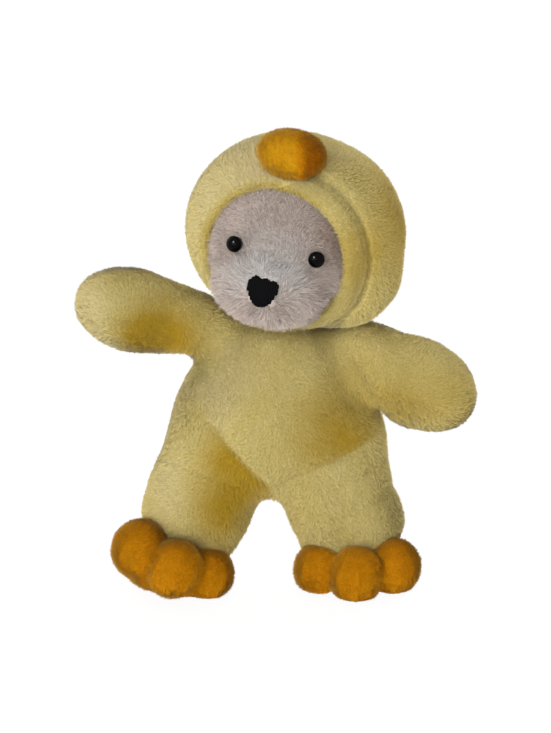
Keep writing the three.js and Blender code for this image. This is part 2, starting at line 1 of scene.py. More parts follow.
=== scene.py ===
# %% [markdown]
# # A dress-up plush bear
# A stuffed bear sewn into a chick costume. Every piece below is soft: a cover of short pile cloth pulled
# tight by fibre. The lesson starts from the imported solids, which fix where each piece is and how it moves,
# and dresses them.

import json
import math

import bmesh
import bpy
import numpy as np
from mathutils import Matrix, Vector
from mathutils.bvhtree import BVHTree

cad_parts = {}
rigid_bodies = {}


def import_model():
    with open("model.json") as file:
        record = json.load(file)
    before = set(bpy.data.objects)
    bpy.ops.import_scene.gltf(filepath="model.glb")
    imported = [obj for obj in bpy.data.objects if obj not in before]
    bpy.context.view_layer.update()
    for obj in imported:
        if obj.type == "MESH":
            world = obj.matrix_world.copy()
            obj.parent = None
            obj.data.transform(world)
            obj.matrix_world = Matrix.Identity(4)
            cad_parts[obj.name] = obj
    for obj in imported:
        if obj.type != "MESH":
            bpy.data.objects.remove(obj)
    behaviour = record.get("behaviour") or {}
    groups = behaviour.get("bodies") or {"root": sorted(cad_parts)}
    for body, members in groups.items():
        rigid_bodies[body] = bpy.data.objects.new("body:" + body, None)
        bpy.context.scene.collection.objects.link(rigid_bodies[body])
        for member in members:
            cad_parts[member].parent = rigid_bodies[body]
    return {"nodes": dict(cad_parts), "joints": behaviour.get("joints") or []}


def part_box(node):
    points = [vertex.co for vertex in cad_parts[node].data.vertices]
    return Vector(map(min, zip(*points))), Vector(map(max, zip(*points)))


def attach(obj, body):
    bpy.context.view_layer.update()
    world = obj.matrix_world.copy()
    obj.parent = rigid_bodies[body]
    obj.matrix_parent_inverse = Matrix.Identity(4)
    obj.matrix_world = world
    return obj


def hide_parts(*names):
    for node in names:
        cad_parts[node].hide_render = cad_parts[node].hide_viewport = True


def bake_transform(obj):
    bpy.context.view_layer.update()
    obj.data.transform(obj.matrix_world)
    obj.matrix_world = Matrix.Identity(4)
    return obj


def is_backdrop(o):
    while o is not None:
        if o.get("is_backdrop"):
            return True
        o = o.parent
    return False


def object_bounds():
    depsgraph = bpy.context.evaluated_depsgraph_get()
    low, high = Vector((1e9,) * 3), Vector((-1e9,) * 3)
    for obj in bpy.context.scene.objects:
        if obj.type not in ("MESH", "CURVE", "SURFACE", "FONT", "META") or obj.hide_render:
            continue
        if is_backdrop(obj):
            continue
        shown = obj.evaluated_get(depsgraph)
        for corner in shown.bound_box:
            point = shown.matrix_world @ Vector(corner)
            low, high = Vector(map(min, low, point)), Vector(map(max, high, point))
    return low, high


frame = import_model()
cad_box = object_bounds()
nodes = frame["nodes"]
joints = {joint["name"]: joint for joint in frame["joints"]}
MM = 0.001
print("solids:", len(nodes), "joints:", len(joints))

# %% [markdown]
# ## Where the torso and the head stand
# The bear stands with its body a little askew and its head turned. It is easier to shape a torso or a hood
# upright and then move it, so each has a place of its own. The two joints of the neck give the neck's axes,
# and the torso and the head follow from it by the turns that the bear was sewn and set with.

# %% Places of the neck, torso and head
NECK_HEIGHT = 102.5 * MM  # above the crotch
HEAD_RISE = 60 * MM  # from the neck's middle to the head's
HEAD_ROLL = math.radians(3.5)
HEAD_YAW = math.radians(-15.5)
HEAD_PITCH = math.radians(1)

across = Vector(joints["head_nod"]["axis"])
upward = Vector(joints["head_turn"]["axis"])
neck_place = Matrix((across, upward.cross(across), upward)).transposed().to_4x4()
neck_place.translation = joints["head_nod"]["pos_m"]
torso_place = neck_place @ Matrix.Rotation(-HEAD_ROLL, 4, "Y") @ Matrix.Translation((0, 0, -NECK_HEIGHT))
head_place = (
    neck_place
    @ Matrix.Translation((0, 0, HEAD_RISE))
    @ Matrix.Rotation(HEAD_YAW, 4, "Z")
    @ Matrix.Rotation(HEAD_PITCH, 4, "X")
)
print("head's middle:", [round(value, 4) for value in head_place.translation])

# %% [markdown]
# ## Camera
# The photograph looks down on the bear at a small angle. A long lens keeps the feet and the head at one
# scale.

# %% Camera
CAMERA_ELEVATION = math.radians(15)
CAMERA_DISTANCE = 1.3
SENSOR = 36  # long side, in millimetres
IMAGE_HEIGHT = 733  # pixels
PIXEL = 0.6 * MM  # at the bear
AIM = Vector((-0.0002, 0, 0.1388))

look = Vector((0, math.cos(CAMERA_ELEVATION), -math.sin(CAMERA_ELEVATION)))
camera_data = bpy.data.cameras.new("camera")
camera_data.sensor_width = SENSOR
camera_data.lens = SENSOR * CAMERA_DISTANCE / (IMAGE_HEIGHT * PIXEL)
camera = bpy.data.objects.new("camera", camera_data)
camera.location = AIM - look * CAMERA_DISTANCE
camera.rotation_euler = look.to_track_quat("-Z", "Y").to_euler()
bpy.context.scene.collection.objects.link(camera)
bpy.context.scene.camera = camera
bpy.context.scene.view_settings.view_transform = "Standard"
print("lens:", round(camera_data.lens, 1), "mm")

# %% [markdown]
# ## Node trees in Python
# Shader and geometry trees are long to wire by hand. `Link` wraps an output socket, so that `1 - mask` adds
# a Math node, and `Tree.node` makes any other node from its type, its settings and what its sockets take.


# %% A socket that does arithmetic, and a tree that makes nodes
class Link:
    def __init__(self, tree, socket):
        self.tree = tree
        self.socket = socket

    def math(self, operation, first, second):
        return self.tree.node("ShaderNodeMath", {"operation": operation}, {0: first, 1: second})

    def __add__(self, other):
        return self.math("ADD", self, other)

    def __sub__(self, other):
        return self.math("SUBTRACT", self, other)

    def __rsub__(self, other):
        return self.math("SUBTRACT", other, self)

    def __mul__(self, other):
        return self.math("MULTIPLY", self, other)

    def larger(self, other):
        return self.math("MAXIMUM", self, other)

    def clamped(self):
        return self.math("MINIMUM", self.larger(0.0), 1.0)


class Tree:
    def __init__(self, tree):
        self.tree = tree
        tree.nodes.clear()

    def node(self, kind, settings=None, sockets=None, output=0):
        made = self.tree.nodes.new(kind)
        for name, value in (settings or {}).items():
            setattr(made, name, value)
        for name, value in (sockets or {}).items():
            if isinstance(value, Link):
                self.tree.links.new(value.socket, made.inputs[name])
            else:
                made.inputs[name].default_value = value
        outputs = output if isinstance(output, tuple) else (output,)
        links = tuple(Link(self, made.outputs[index]) for index in outputs if len(made.outputs))
        return links[0] if len(links) == 1 else links

    def vector(self, operation, first, second=None):
        sockets = {0: first} if second is None else {0: first, 1: second}
        return self.node("ShaderNodeVectorMath", {"operation": operation}, sockets)

    def scaled(self, vector, factor):
        return self.node("ShaderNodeVectorMath", {"operation": "SCALE"}, {0: vector, "Scale": factor})

    def mix(self, factor, first, second, **settings):
        settings["data_type"] = "RGBA"
        return self.node("ShaderNodeMix", settings, {0: factor, 6: first, 7: second}, 2)

    def noise(self, vector, scale, detail=2.0):
        return self.node("ShaderNodeTexNoise", {}, {"Vector": vector, "Scale": scale, "Detail": detail})

    def finish(self, kind, sockets):
        surface = self.node(kind, {}, sockets)
        self.node("ShaderNodeOutputMaterial", {}, {"Surface": surface})


def new_material(name):
    material = bpy.data.materials.new(name)
    material.use_nodes = True
    return material, Tree(material.node_tree)


def colour(red, green, blue):
    """A colour as a picture writes it, 0 to 255, in the linear light that shaders work in."""
    shares = np.array([red, green, blue]) / 255
    linear = np.where(shares <= 0.04045, shares / 12.92, ((shares + 0.055) / 1.055) ** 2.4)
    return (*linear.tolist(), 1.0)


print("helpers:", [helper.__name__ for helper in (Link, Tree, new_material, colour)])

# %% [markdown]
# ## Stage and light
# A plain white sweep would do, but its far end always greys. Here the floor is a large pale sheet that shows
# itself part lit, so that it keeps the bear's shadow, and part as plain white, and the world behind it is
# white to the camera. Broad lamps far away light the bear: a key from the left and front, a softer one from
# above, and two from behind for the other views. A small one, the glint, shows only in the glossy eyes.

# %% Floor, world and lamps
FLOOR_HALF = 4.0
FLOOR_PALE = (0.93, 0.93, 0.93, 1)
FLOOR_WHITE = 0.9  # share of the floor that is plain white to the camera
FLOOR_GLOW = 1.05
WHITE = (1, 1, 1, 1)
AMBIENT = 0.55
# Each lamp: the way it shines, its strength and its breadth in degrees.
LAMPS = {
    "key": ((0.42, 0.9, -0.06), 2.0, 50),
    "above": ((0.25, 0.4, -0.88), 0.3, 120),
    "behind_left": ((-0.45, -0.85, -0.35), 2.0, 60),
    "behind_right": ((0.5, -0.8, -0.35), 1.3, 60),
    "glint": ((0.45, 0.75, -0.5), 6.0, 16),
}


def seen_directly(tree):
    """One for what the camera sees straight, by reflection or through glass."""
    camera_ray, glossy, transmission = tree.node("ShaderNodeLightPath", output=(0, 3, 6))
    return camera_ray.larger(glossy).larger(transmission)


def make_floor():
    mesh = bpy.data.meshes.new("floor")
    corners = [(x * FLOOR_HALF, y * FLOOR_HALF, 0) for x, y in ((-1, -1), (1, -1), (1, 1), (-1, 1))]
    mesh.from_pydata(corners, [], [(0, 1, 2, 3)])
    floor = bpy.data.objects.new("floor", mesh)
    bpy.context.scene.collection.objects.link(floor)
    floor.visible_shadow = False  # half of the low key lamp's disc is under it
    material, tree = new_material("floor_sheet")
    pale = tree.node("ShaderNodeBsdfDiffuse", {}, {"Color": FLOOR_PALE})
    white = tree.node("ShaderNodeEmission", {}, {"Color": WHITE, "Strength": FLOOR_GLOW})
    tree.finish("ShaderNodeMixShader", {0: seen_directly(tree) * FLOOR_WHITE, 1: pale, 2: white})
    mesh.materials.append(material)
    return floor


def make_world():
    world = bpy.data.worlds.new("studio")
    bpy.context.scene.world = world
    world.use_nodes = True
    tree = Tree(world.node_tree)
    strength = seen_directly(tree) * (1 - AMBIENT) + AMBIENT
    light = tree.node("ShaderNodeBackground", {}, {"Color": WHITE, "Strength": strength})
    tree.node("ShaderNodeOutputWorld", {}, {"Surface": light})


def make_lamp(name, towards, strength, breadth):
    lamp_data = bpy.data.lights.new(name, "SUN")
    lamp_data.energy = strength
    lamp_data.angle = math.radians(breadth)
    lamp = bpy.data.objects.new(name, lamp_data)
    lamp.rotation_euler = Vector(towards).to_track_quat("-Z", "Y").to_euler()
    lamp.visible_diffuse = name != "glint"
    bpy.context.scene.collection.objects.link(lamp)


make_floor()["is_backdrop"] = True
make_world()
for lamp_name, lamp in LAMPS.items():
    make_lamp(lamp_name, *lamp)
print("lamps:", sorted(LAMPS))

# %% [markdown]
# ## Working on meshes
# Soft pieces begin as rough forms and are moved point by point. Numpy moves all the points of a mesh at
# once, so these helpers read and write them as arrays, relax them towards their neighbours and measure the
# way they face.

# %% Points and edges
TOUCHING = 1e-6  # metres within which two points are one


def new_object(name, mesh):
    made = bpy.data.objects.new(name, mesh)
    bpy.context.scene.collection.objects.link(made)
    return made


def mesh_object(name, places, edges, faces):
    mesh = bpy.data.meshes.new(name)
    mesh.from_pydata(places.tolist(), edges, faces)
    return new_object(name, mesh)


def from_form(name, form):
    mesh = bpy.data.meshes.new(name)
    form.to_mesh(mesh)
    form.free()
    return new_object(name, mesh)


def read_array(items, key, width, kind=float):
    """One property of all the items of a mesh, a row to each."""
    found = np.empty(len(items) * width, kind)
    items.foreach_get(key, found)
    return found.reshape(-1, width)


def points_of(mesh):
    return read_array(mesh.vertices, "co", 3)


def set_points(mesh, places):
    mesh.vertices.foreach_set("co", np.asarray(places, float).ravel())
    mesh.update()


def normals_of(mesh):
    return read_array(mesh.vertex_normals, "vector", 3)


def face_middles(mesh):
    return read_array(mesh.polygons, "center", 3)


def shade_smooth(mesh):
    mesh.polygons.foreach_set("use_smooth", [True] * len(mesh.polygons))


def neighbours(mesh):
    """The two ends of every edge, and how many neighbours each point has."""
    first, second = read_array(mesh.edges, "vertices", 2, np.int32).T
    total = len(mesh.vertices)
    return first, second, np.bincount(first, minlength=total) + np.bincount(second, minlength=total)


def relax(mesh, rounds, share=0.5, free=None):
    """Moves each point towards the middle of its neighbours. free is how far each may follow, 0 to 1."""
    places = points_of(mesh)
    first, second, count = neighbours(mesh)
    follow = share if free is None else share * free[:, None]
    for _ in range(rounds):
        total = np.zeros_like(places)
        np.add.at(total, first, places[second])
        np.add.at(total, second, places[first])
        places += (total / count[:, None] - places) * follow
    set_points(mesh, places)


print("helpers:", [helper.__name__ for helper in (points_of, normals_of, face_middles, relax)])


# %% Modifiers and loose forms
def evaluated_mesh(piece):
    depsgraph = bpy.context.evaluated_depsgraph_get()
    found = piece.evaluated_get(depsgraph)
    return bpy.data.meshes.new_from_object(found, preserve_all_data_layers=True, depsgraph=depsgraph)


def keep_result(piece):
    """What a piece's modifiers make becomes its mesh, and they are taken off it."""
    old = piece.data
    made = evaluated_mesh(piece)
    piece.modifiers.clear()
    piece.data = made
    made.name = piece.name
    bpy.data.meshes.remove(old)
    return piece


def with_modifier(piece, kind, **settings):
    modifier = piece.modifiers.new(kind.lower(), kind)
    for name, value in settings.items():
        setattr(modifier, name, value)
    return keep_result(piece)


def melted(piece, voxel):
    """A loose form remade from small cubes, so that its parts grow together."""
    return with_modifier(piece, "REMESH", mode="VOXEL", voxel_size=voxel)


def subdivided(piece):
    return with_modifier(piece, "SUBSURF", levels=1, render_levels=1)


def joined(name, pieces):
    """One loose form from copies of pieces."""
    form = bmesh.new()
    for piece in pieces:
        form.from_mesh(piece.data)
    bmesh.ops.remove_doubles(form, verts=form.verts, dist=TOUCHING)
    return from_form(name, form)


def joined_nodes(name, node_names):
    return joined(name, [nodes[node_name] for node_name in node_names])


def ring_faces(rings, sides):
    """Four-cornered faces between rings of points, one ring after another."""
    faces = []
    for row in range(rings - 1):
        for side in range(sides):
            here = row * sides + side
            beside = row * sides + (side + 1) % sides
            faces.append((here, beside, beside + sides, here + sides))
    return faces


def fan_faces(row, sides):
    """Faces from a last ring to the one point after it."""
    first = row * sides
    return [(first + side, first + (side + 1) % sides, first + sides) for side in range(sides)]


print("helpers:", [helper.__name__ for helper in (melted, subdivided, joined, ring_faces, fan_faces)])


# %% Distances, soft steps and places
def tree_of(piece):
    """A search tree over a piece's faces, for distances and for telling inside from outside."""
    mesh = piece.data
    mesh.calc_loop_triangles()
    corners = [tuple(triangle.vertices) for triangle in mesh.loop_triangles]
    return BVHTree.FromPolygons([vertex.co for vertex in mesh.vertices], corners)


def distances(search, places):
    """How far each place is from the nearest point of a form."""
    return np.array([search.find_nearest(Vector(place))[3] for place in places])


def inside(search, places):
    """Which places lie inside a closed form: a ray from there crosses it an odd number of times."""
    way = Vector((0.31, -0.52, 0.79)).normalized()
    found = np.zeros(len(places), bool)
    for index, place in enumerate(places):
        spot = search.ray_cast(Vector(place), way)[0]
        while spot is not None:
            found[index] = not found[index]
            spot = search.ray_cast(spot + way * TOUCHING, way)[0]
    return found


def smooth_step(low, high, value):
    share = np.clip((np.asarray(value) - low) / (high - low), 0, 1)
    return share * share * (3 - 2 * share)


def bell(value, half):
    return np.exp(-((value / half) ** 2))


def in_ball(places, middle, radius, edge):
    """One in a soft ball, in millimetres, and nought outside. edge has the shares of its radius for both."""
    distance = np.linalg.norm(places / MM - np.array(middle), axis=1)
    return smooth_step(*edge, distance / radius)


def in_place(place, places):
    """World places as seen from a place of their own."""
    turn = np.array(place.inverted())
    return places @ turn[:3, :3].T + turn[:3, 3]


def from_place(place, places):
    turn = np.array(place)
    return places @ turn[:3, :3].T + turn[:3, 3]


print("helpers:", [helper.__name__ for helper in (distances, inside, smooth_step, bell, in_ball)])

# %% [markdown]
# ## Stuffing a cover
# A sewn cover is flat cloth until fibre presses it out. Blender's Cloth can do that: the form starts a
# little small, pressure swells it, and the seams, which the thread holds back, are pinned. The swelling is
# capped so that a piece never outgrows the solid that it stands for, and the result becomes a plain mesh.

# %% Swell a form by pressure
SWELL_FRAMES = 20
CLOTH = {
    "quality": 5,
    "mass": 0.2,
    "tension_stiffness": 12,
    "compression_stiffness": 12,
    "shear_stiffness": 6,
    "bending_stiffness": 1.0,
    "use_pressure": True,
    "uniform_pressure_force": 4.0,
    "vertex_group_mass": "seams",
}


def stuff(piece, held, cap):
    """Swells a piece by up to the cap. held is how firmly thread holds each point, 0 to 1."""
    mesh = piece.data
    before = points_of(mesh)
    group = piece.vertex_groups.new(name=CLOTH["vertex_group_mass"])
    for index in np.flatnonzero(held > 0):
        group.add([int(index)], float(held[index]), "REPLACE")
    settings = piece.modifiers.new("cloth", "CLOTH").settings
    for name, value in CLOTH.items():
        setattr(settings, name, value)
    settings.effector_weights.gravity = 0
    scene = bpy.context.scene
    for number in range(1, SWELL_FRAMES + 1):
        scene.frame_set(number)
    swollen = evaluated_mesh(piece)
    moved = points_of(swollen) - before
    piece.modifiers.clear()
    piece.vertex_groups.clear()
    scene.frame_set(1)
    bpy.data.meshes.remove(swollen)
    distance = np.linalg.norm(moved, axis=1, keepdims=True)
    moved *= np.minimum(1, cap / np.maximum(distance, TOUCHING * MM))
    set_points(mesh, before + moved)
    print(piece.name, "swelled by up to", round(float(np.minimum(distance, cap).max()) / MM, 2), "mm")


print("cloth:", CLOTH)

# %% [markdown]
# ## Plush
# Pile cloth looks pale where one sees the sides and tips of its hairs, and deep where one looks down to
# their roots. Here each blade is painted darker and more saturated towards its root, as painted shade within
# the pile. Brushing it one way or the other leaves patches of both, and the same patches also carry painted
# shade on the sides turned from the key lamp and painted light on those towards it. Each blade of pile, made
# later, knows how far along it a point is (`tip`), a share that differs from blade to blade (`shade`), where
# its root is (`rest`) and how deep or pale its patch is laid on (`nap_and_shade`), so one finish gives both
# the cover and its pile. A faint sheen lightens the rims.

# %% Plush finish
ROUGH = 0.9
GLOSS = 0.02
SHEEN_ROUGH = 0.45
CLOUD_DETAIL = 3.0
CLOUD_DEPTH = 0.6  # how much the clouds add to the brushing
SPECKLE_SCALE = 700.0
SPECKLE_SHARE = 0.8  # of how uneven the blades are
# The bare cover takes most of the tips' colour, not the roots': painted light against the shade of the pile
# over it.
COVER_ALONG = (0.65, 0.3)  # where along a blade the bare cover takes its colour: from there, and how far on
TIP_KEPT = 0.15  # share of its plain colour that a tip keeps in deep pile and painted shade
PALE_SHARE = 0.9
COVER_BUMP = {"Strength": 0.6, "Distance": 0.8 * MM}


def plush(name, root, tip, deep, pale, sheen_tint, sheen, cloud, uneven, on_pile):
    material, tree = new_material(name)

    def read(attribute, output=2):
        return tree.node("ShaderNodeAttribute", {"attribute_name": attribute}, {}, output)

    rest = read("rest", 1)
    clouds = tree.noise(rest, cloud, CLOUD_DETAIL)
    speckle = tree.noise(rest, SPECKLE_SCALE)
    if on_pile:
        along = read("tip")
        jitter = read("shade")
        outward, from_behind = tree.node("ShaderNodeNewGeometry", output=(1, 6))
        facing = tree.scaled(outward, 1 - from_behind * 2)
    else:
        along = speckle * COVER_ALONG[1] + COVER_ALONG[0]
        jitter = speckle
        facing = tree.node("ShaderNodeBump", {}, {"Height": speckle, **COVER_BUMP})
    brushed_and_shaded = read("nap_and_shade") + (clouds - 0.5) * CLOUD_DEPTH
    # Darker and more saturated towards the root: painted shade within the pile.
    plain = tree.mix(along, root, tip)
    # Deep pile and painted shade from the patches, then pale pile and painted light.
    deep_and_shaded = tree.mix(brushed_and_shaded.clamped() * (1 - along * TIP_KEPT), plain, deep)
    pale_and_lit = tree.mix((brushed_and_shaded * -1.0).clamped() * PALE_SHARE, deep_and_shaded, pale)
    light = (jitter - 0.5) * uneven + (speckle - 0.5) * (uneven * SPECKLE_SHARE) + 1
    grey = tree.node("ShaderNodeCombineColor", {}, {0: light, 1: light, 2: light})
    sockets = {
        "Base Color": tree.mix(1.0, pale_and_lit, grey, blend_type="MULTIPLY"),
        "Roughness": ROUGH,
        "Specular IOR Level": GLOSS,
        "Sheen Weight": sheen,
        "Sheen Roughness": SHEEN_ROUGH,
        "Sheen Tint": sheen_tint,
        "Normal": facing,
    }
    tree.finish("ShaderNodeBsdfPrincipled", sockets)
    return material


YELLOW = {
    # root, here and in the other finishes: painted shade deep in the pile.
    "root": colour(186, 159, 66),
    "tip": colour(231, 216, 148),
    # deep and pale, here and in the other finishes: the patches' deep and pale pile, with their painted shade
    # and painted light.
    "deep": colour(184, 147, 24),
    "pale": colour(232, 217, 172),
    "sheen_tint": (0.94, 0.82, 0.62, 1),
    "sheen": 0.4,
    "cloud": 45.0,
    "uneven": 0.2,
}
CREAM = {
    "root": colour(172, 153, 141),
    "tip": colour(213, 198, 188),
    "deep": colour(148, 124, 106),
    "pale": colour(224, 219, 215),
    "sheen_tint": (0.95, 0.9, 0.88, 1),
    "sheen": 0.3,
    "cloud": 150.0,
    "uneven": 0.6,
}
ORANGE = {
    "root": colour(196, 112, 6),
    "tip": colour(240, 168, 20),
    # deep, a brown: painted shade in the instep, between the toes and on the bill's shaded side.
    "deep": colour(148, 81, 8),
    "pale": colour(244, 186, 34),
    "sheen_tint": (0.95, 0.55, 0.12, 1),
    "sheen": 0.6,
    "cloud": 60.0,
    "uneven": 0.25,
}
finishes = {}
for finish_name, looks in (("yellow", YELLOW), ("cream", CREAM), ("orange", ORANGE)):
    cover_finish = plush(finish_name + "_plush", on_pile=False, **looks)
    finishes[finish_name] = (cover_finish, plush(finish_name + "_pile", on_pile=True, **looks))
print("plush finishes:", sorted(finishes))

# %% [markdown]
# ## A tree that grows pile
# Hair particles don't export, and a bump can't give a soft edge. Geometry Nodes scatter points over a cover
# and put a small kite of two triangles on each: it starts at the root, is widest halfway and ends in a
# point. `comb` lays the blades over, `pile` says where any grow and `reach` how long they are, all painted
# on the cover beforehand.


# %% Geometry trees
def new_node_group(name, inputs):
    """A geometry tree that takes a mesh and these inputs, and links to them."""
    group = bpy.data.node_groups.new(name, "GeometryNodeTree")
    for input_name, kind in {"Geometry": "Geometry", **inputs}.items():
        group.interface.new_socket(input_name, in_out="INPUT", socket_type="NodeSocket" + kind)
    group.interface.new_socket("Geometry", in_out="OUTPUT", socket_type="NodeSocketGeometry")
    make = Tree(group)
    return make, make.node("NodeGroupInput", output=tuple(range(len(inputs) + 1)))


def end_node_group(make, geometry, material):
    whole = make.node("GeometryNodeRealizeInstances", {}, {"Geometry": geometry})
    whole = make.node("GeometryNodeSetMaterial", {}, {"Geometry": whole, "Material": material})
    make.node("NodeGroupOutput", {}, {0: whole})
    return make.tree


def through_tree(piece, group, values):
    """A piece's mesh becomes what a geometry tree makes of it."""
    modifier = piece.modifiers.new(group.name, "NODES")
    modifier.node_group = group
    for item in group.interface.items_tree:
        if item.name in values:
            modifier[item.identifier] = values[item.name]
    return keep_result(piece)


print("helpers:", [helper.__name__ for helper in (new_node_group, end_node_group, through_tree)])

# %% Pile tree
PILE_SIZES = ("Density", "Length", "Width", "Lean", "Jitter", "Curl")
BLADE_CORNERS = 4
BLADE_WAIST = 0.45  # where along its length a blade is widest
BLADE_LENGTHS = (0.7, 1.15)  # shares of the pile's length, at random
BLADE_WIDTHS = (0.75, 1.2)
SPIN = 1.2  # about its own length, each way, so that blades also show from the side


def blade_corners(make, curl):
    """The place of each corner of a blade one long and wide: root, left, tip and right."""
    tip_place = make.node("ShaderNodeCombineXYZ", {}, {"X": 0.0, "Y": curl, "Z": 1.0})
    switch = make.tree.nodes.new("GeometryNodeIndexSwitch")
    switch.data_type = "VECTOR"
    while len(switch.index_switch_items) < BLADE_CORNERS:
        switch.index_switch_items.new()
    make.tree.links.new(make.node("GeometryNodeInputIndex").socket, switch.inputs[0])
    switch.inputs[2].default_value = (-0.5, 0.0, BLADE_WAIST)
    make.tree.links.new(tip_place.socket, switch.inputs[3])
    switch.inputs[4].default_value = (0.5, 0.0, BLADE_WAIST)
    return Link(make, switch.outputs[0])


def make_pile_tree():
    inputs = {**dict.fromkeys(PILE_SIZES, "Float"), "Seed": "Int", "Material": "Material"}
    make, links = new_node_group("grow_pile", inputs)
    cover, density, length, width, lean, jitter, curl, seed, material = links

    def read(name, kind):
        return make.node("GeometryNodeInputNamedAttribute", {"data_type": kind}, {"Name": name})

    def store(geometry, name, kind, domain, value):
        settings = {"data_type": kind, "domain": domain}
        sockets = {"Geometry": geometry, "Name": name, "Value": value}
        return make.node("GeometryNodeStoreNamedAttribute", settings, sockets)

    def chance(low, high, salt):
        sockets = {2: low, 3: high, "Seed": seed + salt}
        return make.node("FunctionNodeRandomValue", {"data_type": "FLOAT"}, sockets, 1)

    def aligned(axis, pivot, sockets):
        return make.node("FunctionNodeAlignRotationToVector", {"axis": axis, "pivot_axis": pivot}, sockets)

    blade = make.node("GeometryNodeMeshCircle", {"fill_type": "NGON"}, {"Vertices": BLADE_CORNERS})
    corner_place = blade_corners(make, curl)
    blade = make.node("GeometryNodeSetPosition", {}, {"Geometry": blade, "Position": corner_place})
    height = make.node("ShaderNodeSeparateXYZ", {}, {0: corner_place}, 2)
    blade = store(blade, "tip", "FLOAT", "POINT", height)

    where = {"Mesh": cover, "Density": density * read("pile", "FLOAT"), "Seed": seed}
    at_random = {"distribute_method": "RANDOM"}
    roots, normal = make.node("GeometryNodeDistributePointsOnFaces", at_random, where, (0, 1))
    any_way = {0: (-1.0, -1.0, -1.0), 1: (1.0, 1.0, 1.0), "Seed": seed + 1}
    wobble = make.node("FunctionNodeRandomValue", {"data_type": "FLOAT_VECTOR"}, any_way)
    laid = make.vector("ADD", normal, make.scaled(read("comb", "FLOAT_VECTOR"), lean))
    direction = make.vector("NORMALIZE", make.vector("ADD", laid, make.scaled(wobble, jitter)))
    along = aligned("Z", "AUTO", {"Vector": direction})
    facing = aligned("Y", "Z", {"Rotation": along, "Vector": normal})
    about = make.node("ShaderNodeCombineXYZ", {}, {"X": 0.0, "Y": 0.0, "Z": chance(-SPIN, SPIN, 5)})
    turn = {"Rotation": facing, "Rotate By": make.node("FunctionNodeEulerToRotation", {}, {0: about})}
    facing = make.node("FunctionNodeRotateRotation", {"rotation_space": "LOCAL"}, turn)
    long = length * (chance(*BLADE_LENGTHS, 2) * read("reach", "FLOAT"))
    wide = width * chance(*BLADE_WIDTHS, 3)
    stretch = make.node("ShaderNodeCombineXYZ", {}, {"X": wide, "Y": long, "Z": long})
    planted = {"Points": roots, "Instance": blade, "Rotation": facing, "Scale": stretch}
    blades = make.node("GeometryNodeInstanceOnPoints", {}, planted)
    blades = store(blades, "shade", "FLOAT", "INSTANCE", chance(0.0, 1.0, 4))
    blades = store(blades, "facing", "FLOAT_VECTOR", "INSTANCE", read("under", "FLOAT_VECTOR"))
    return end_node_group(make, blades, material)


pile_tree = make_pile_tree()
print("pile tree:", len(pile_tree.nodes), "nodes")

# %% [markdown]
# ## Growing pile on a cover
# The tree's result becomes a mesh of its own beside the cover. Its kites each get a small square of a
# texture map, so that their colours can be baked one by one.

# %% Grow pile
CELL_USED = 0.9  # of each square of the map
COVER_SHARE = 0.7  # of a blade's shading that is its cover's
WAVES = 6  # that make up a drift over the surface


def own_squares(mesh):
    """A map on which every blade has a square of its own."""
    blades = len(mesh.polygons)
    side = math.ceil(math.sqrt(blades))
    number = np.arange(blades)
    corner = np.stack([number % side, number // side], 1)[:, None, :]
    kite = np.array([[0.5, 0.0], [0.0, BLADE_WAIST], [0.5, 1.0], [1.0, BLADE_WAIST]])[None]
    margin = (1 - CELL_USED) / 2
    places = (corner + margin + kite * CELL_USED) / side
    layer = mesh.uv_layers.new(name="OFBake")
    layer.data.foreach_set("uv", places.astype(np.float32).ravel())


def face_like_cover(mesh):
    """Blades take most of their shading from the cover under them, as dense pile does."""
    facing = read_array(mesh.attributes["facing"].data, "vector", 3)
    facing = facing * COVER_SHARE + normals_of(mesh) * (1 - COVER_SHARE)
    facing /= np.linalg.norm(facing, axis=1, keepdims=True)
    shade_smooth(mesh)
    mesh.normals_split_custom_set_from_vertices(facing)
    for name in ("facing", "under", "comb", "reach", "pile"):
        old = mesh.attributes.get(name)
        if old is not None:
            mesh.attributes.remove(old)


def grow(cover, name, finish, seed, sizes):
    values = {"Seed": seed, "Material": finish, **dict(zip(PILE_SIZES, sizes))}
    piece = through_tree(new_object(name, cover.data.copy()), pile_tree, values)
    own_squares(piece.data)
    face_like_cover(piece.data)
    print(name, "has", len(piece.data.polygons), "blades")
    return piece


def paint(mesh, name, kind, domain, values):
    old = mesh.attributes.get(name)
    if old is not None:
        mesh.attributes.remove(old)
    layer = mesh.attributes.new(name, kind, domain)
    key = "vector" if kind == "FLOAT_VECTOR" else "value"
    layer.data.foreach_set(key, np.asarray(values, np.float32).ravel())


def along_surface(directions, normals):
    flat = directions - normals * np.sum(directions * normals, 1, keepdims=True)
    return flat / np.maximum(np.linalg.norm(flat, axis=1, keepdims=True), 1e-6)


def swirl(flat, normals, angles):
    """Turns directions that lie along a surface, each about its own normal."""
    sideways = np.cross(normals, flat)
    return flat * np.cos(angles)[:, None] + sideways * np.sin(angles)[:, None]


def wander(places, wave, seed):
    """A smooth number from about -1 to 1 that drifts over the surface."""
    chance = np.random.default_rng(seed)
    total = np.zeros(len(places))
    for _ in range(WAVES):
        direction = chance.normal(size=3)
        direction *= 2 * np.pi / wave / np.linalg.norm(direction)
        total += np.sin(places @ direction + chance.uniform(0, 2 * np.pi))
    return total / (WAVES / 2)


print("pile grows on any cover that is painted")

# %% [markdown]
# ## Body, arms and legs
# The costume's body is one continuous cover with creases where arms and legs are sewn on. The torso is
# lofted from a few widths and depths, the limbs are copies of their solids, and a voxel remesh grows them
# together. The arms' join lines are pinned while pressure swells the rest, and the creases of the seams in
# front are pressed in afterwards.

# %% Torso form
TORSO_RINGS = ((32, 134, 80), (58, 116, 79), (82, 94, 68), (100, 68, 60))  # height, width and depth
TORSO_CAP_BELOW = 32
TORSO_CAP_ABOVE = 10
LOFT_SIDES = 48
LOFT_STEPS = 24
CAP_STEPS = 8
NARROWEST = 0.5  # of a ring, in millimetres


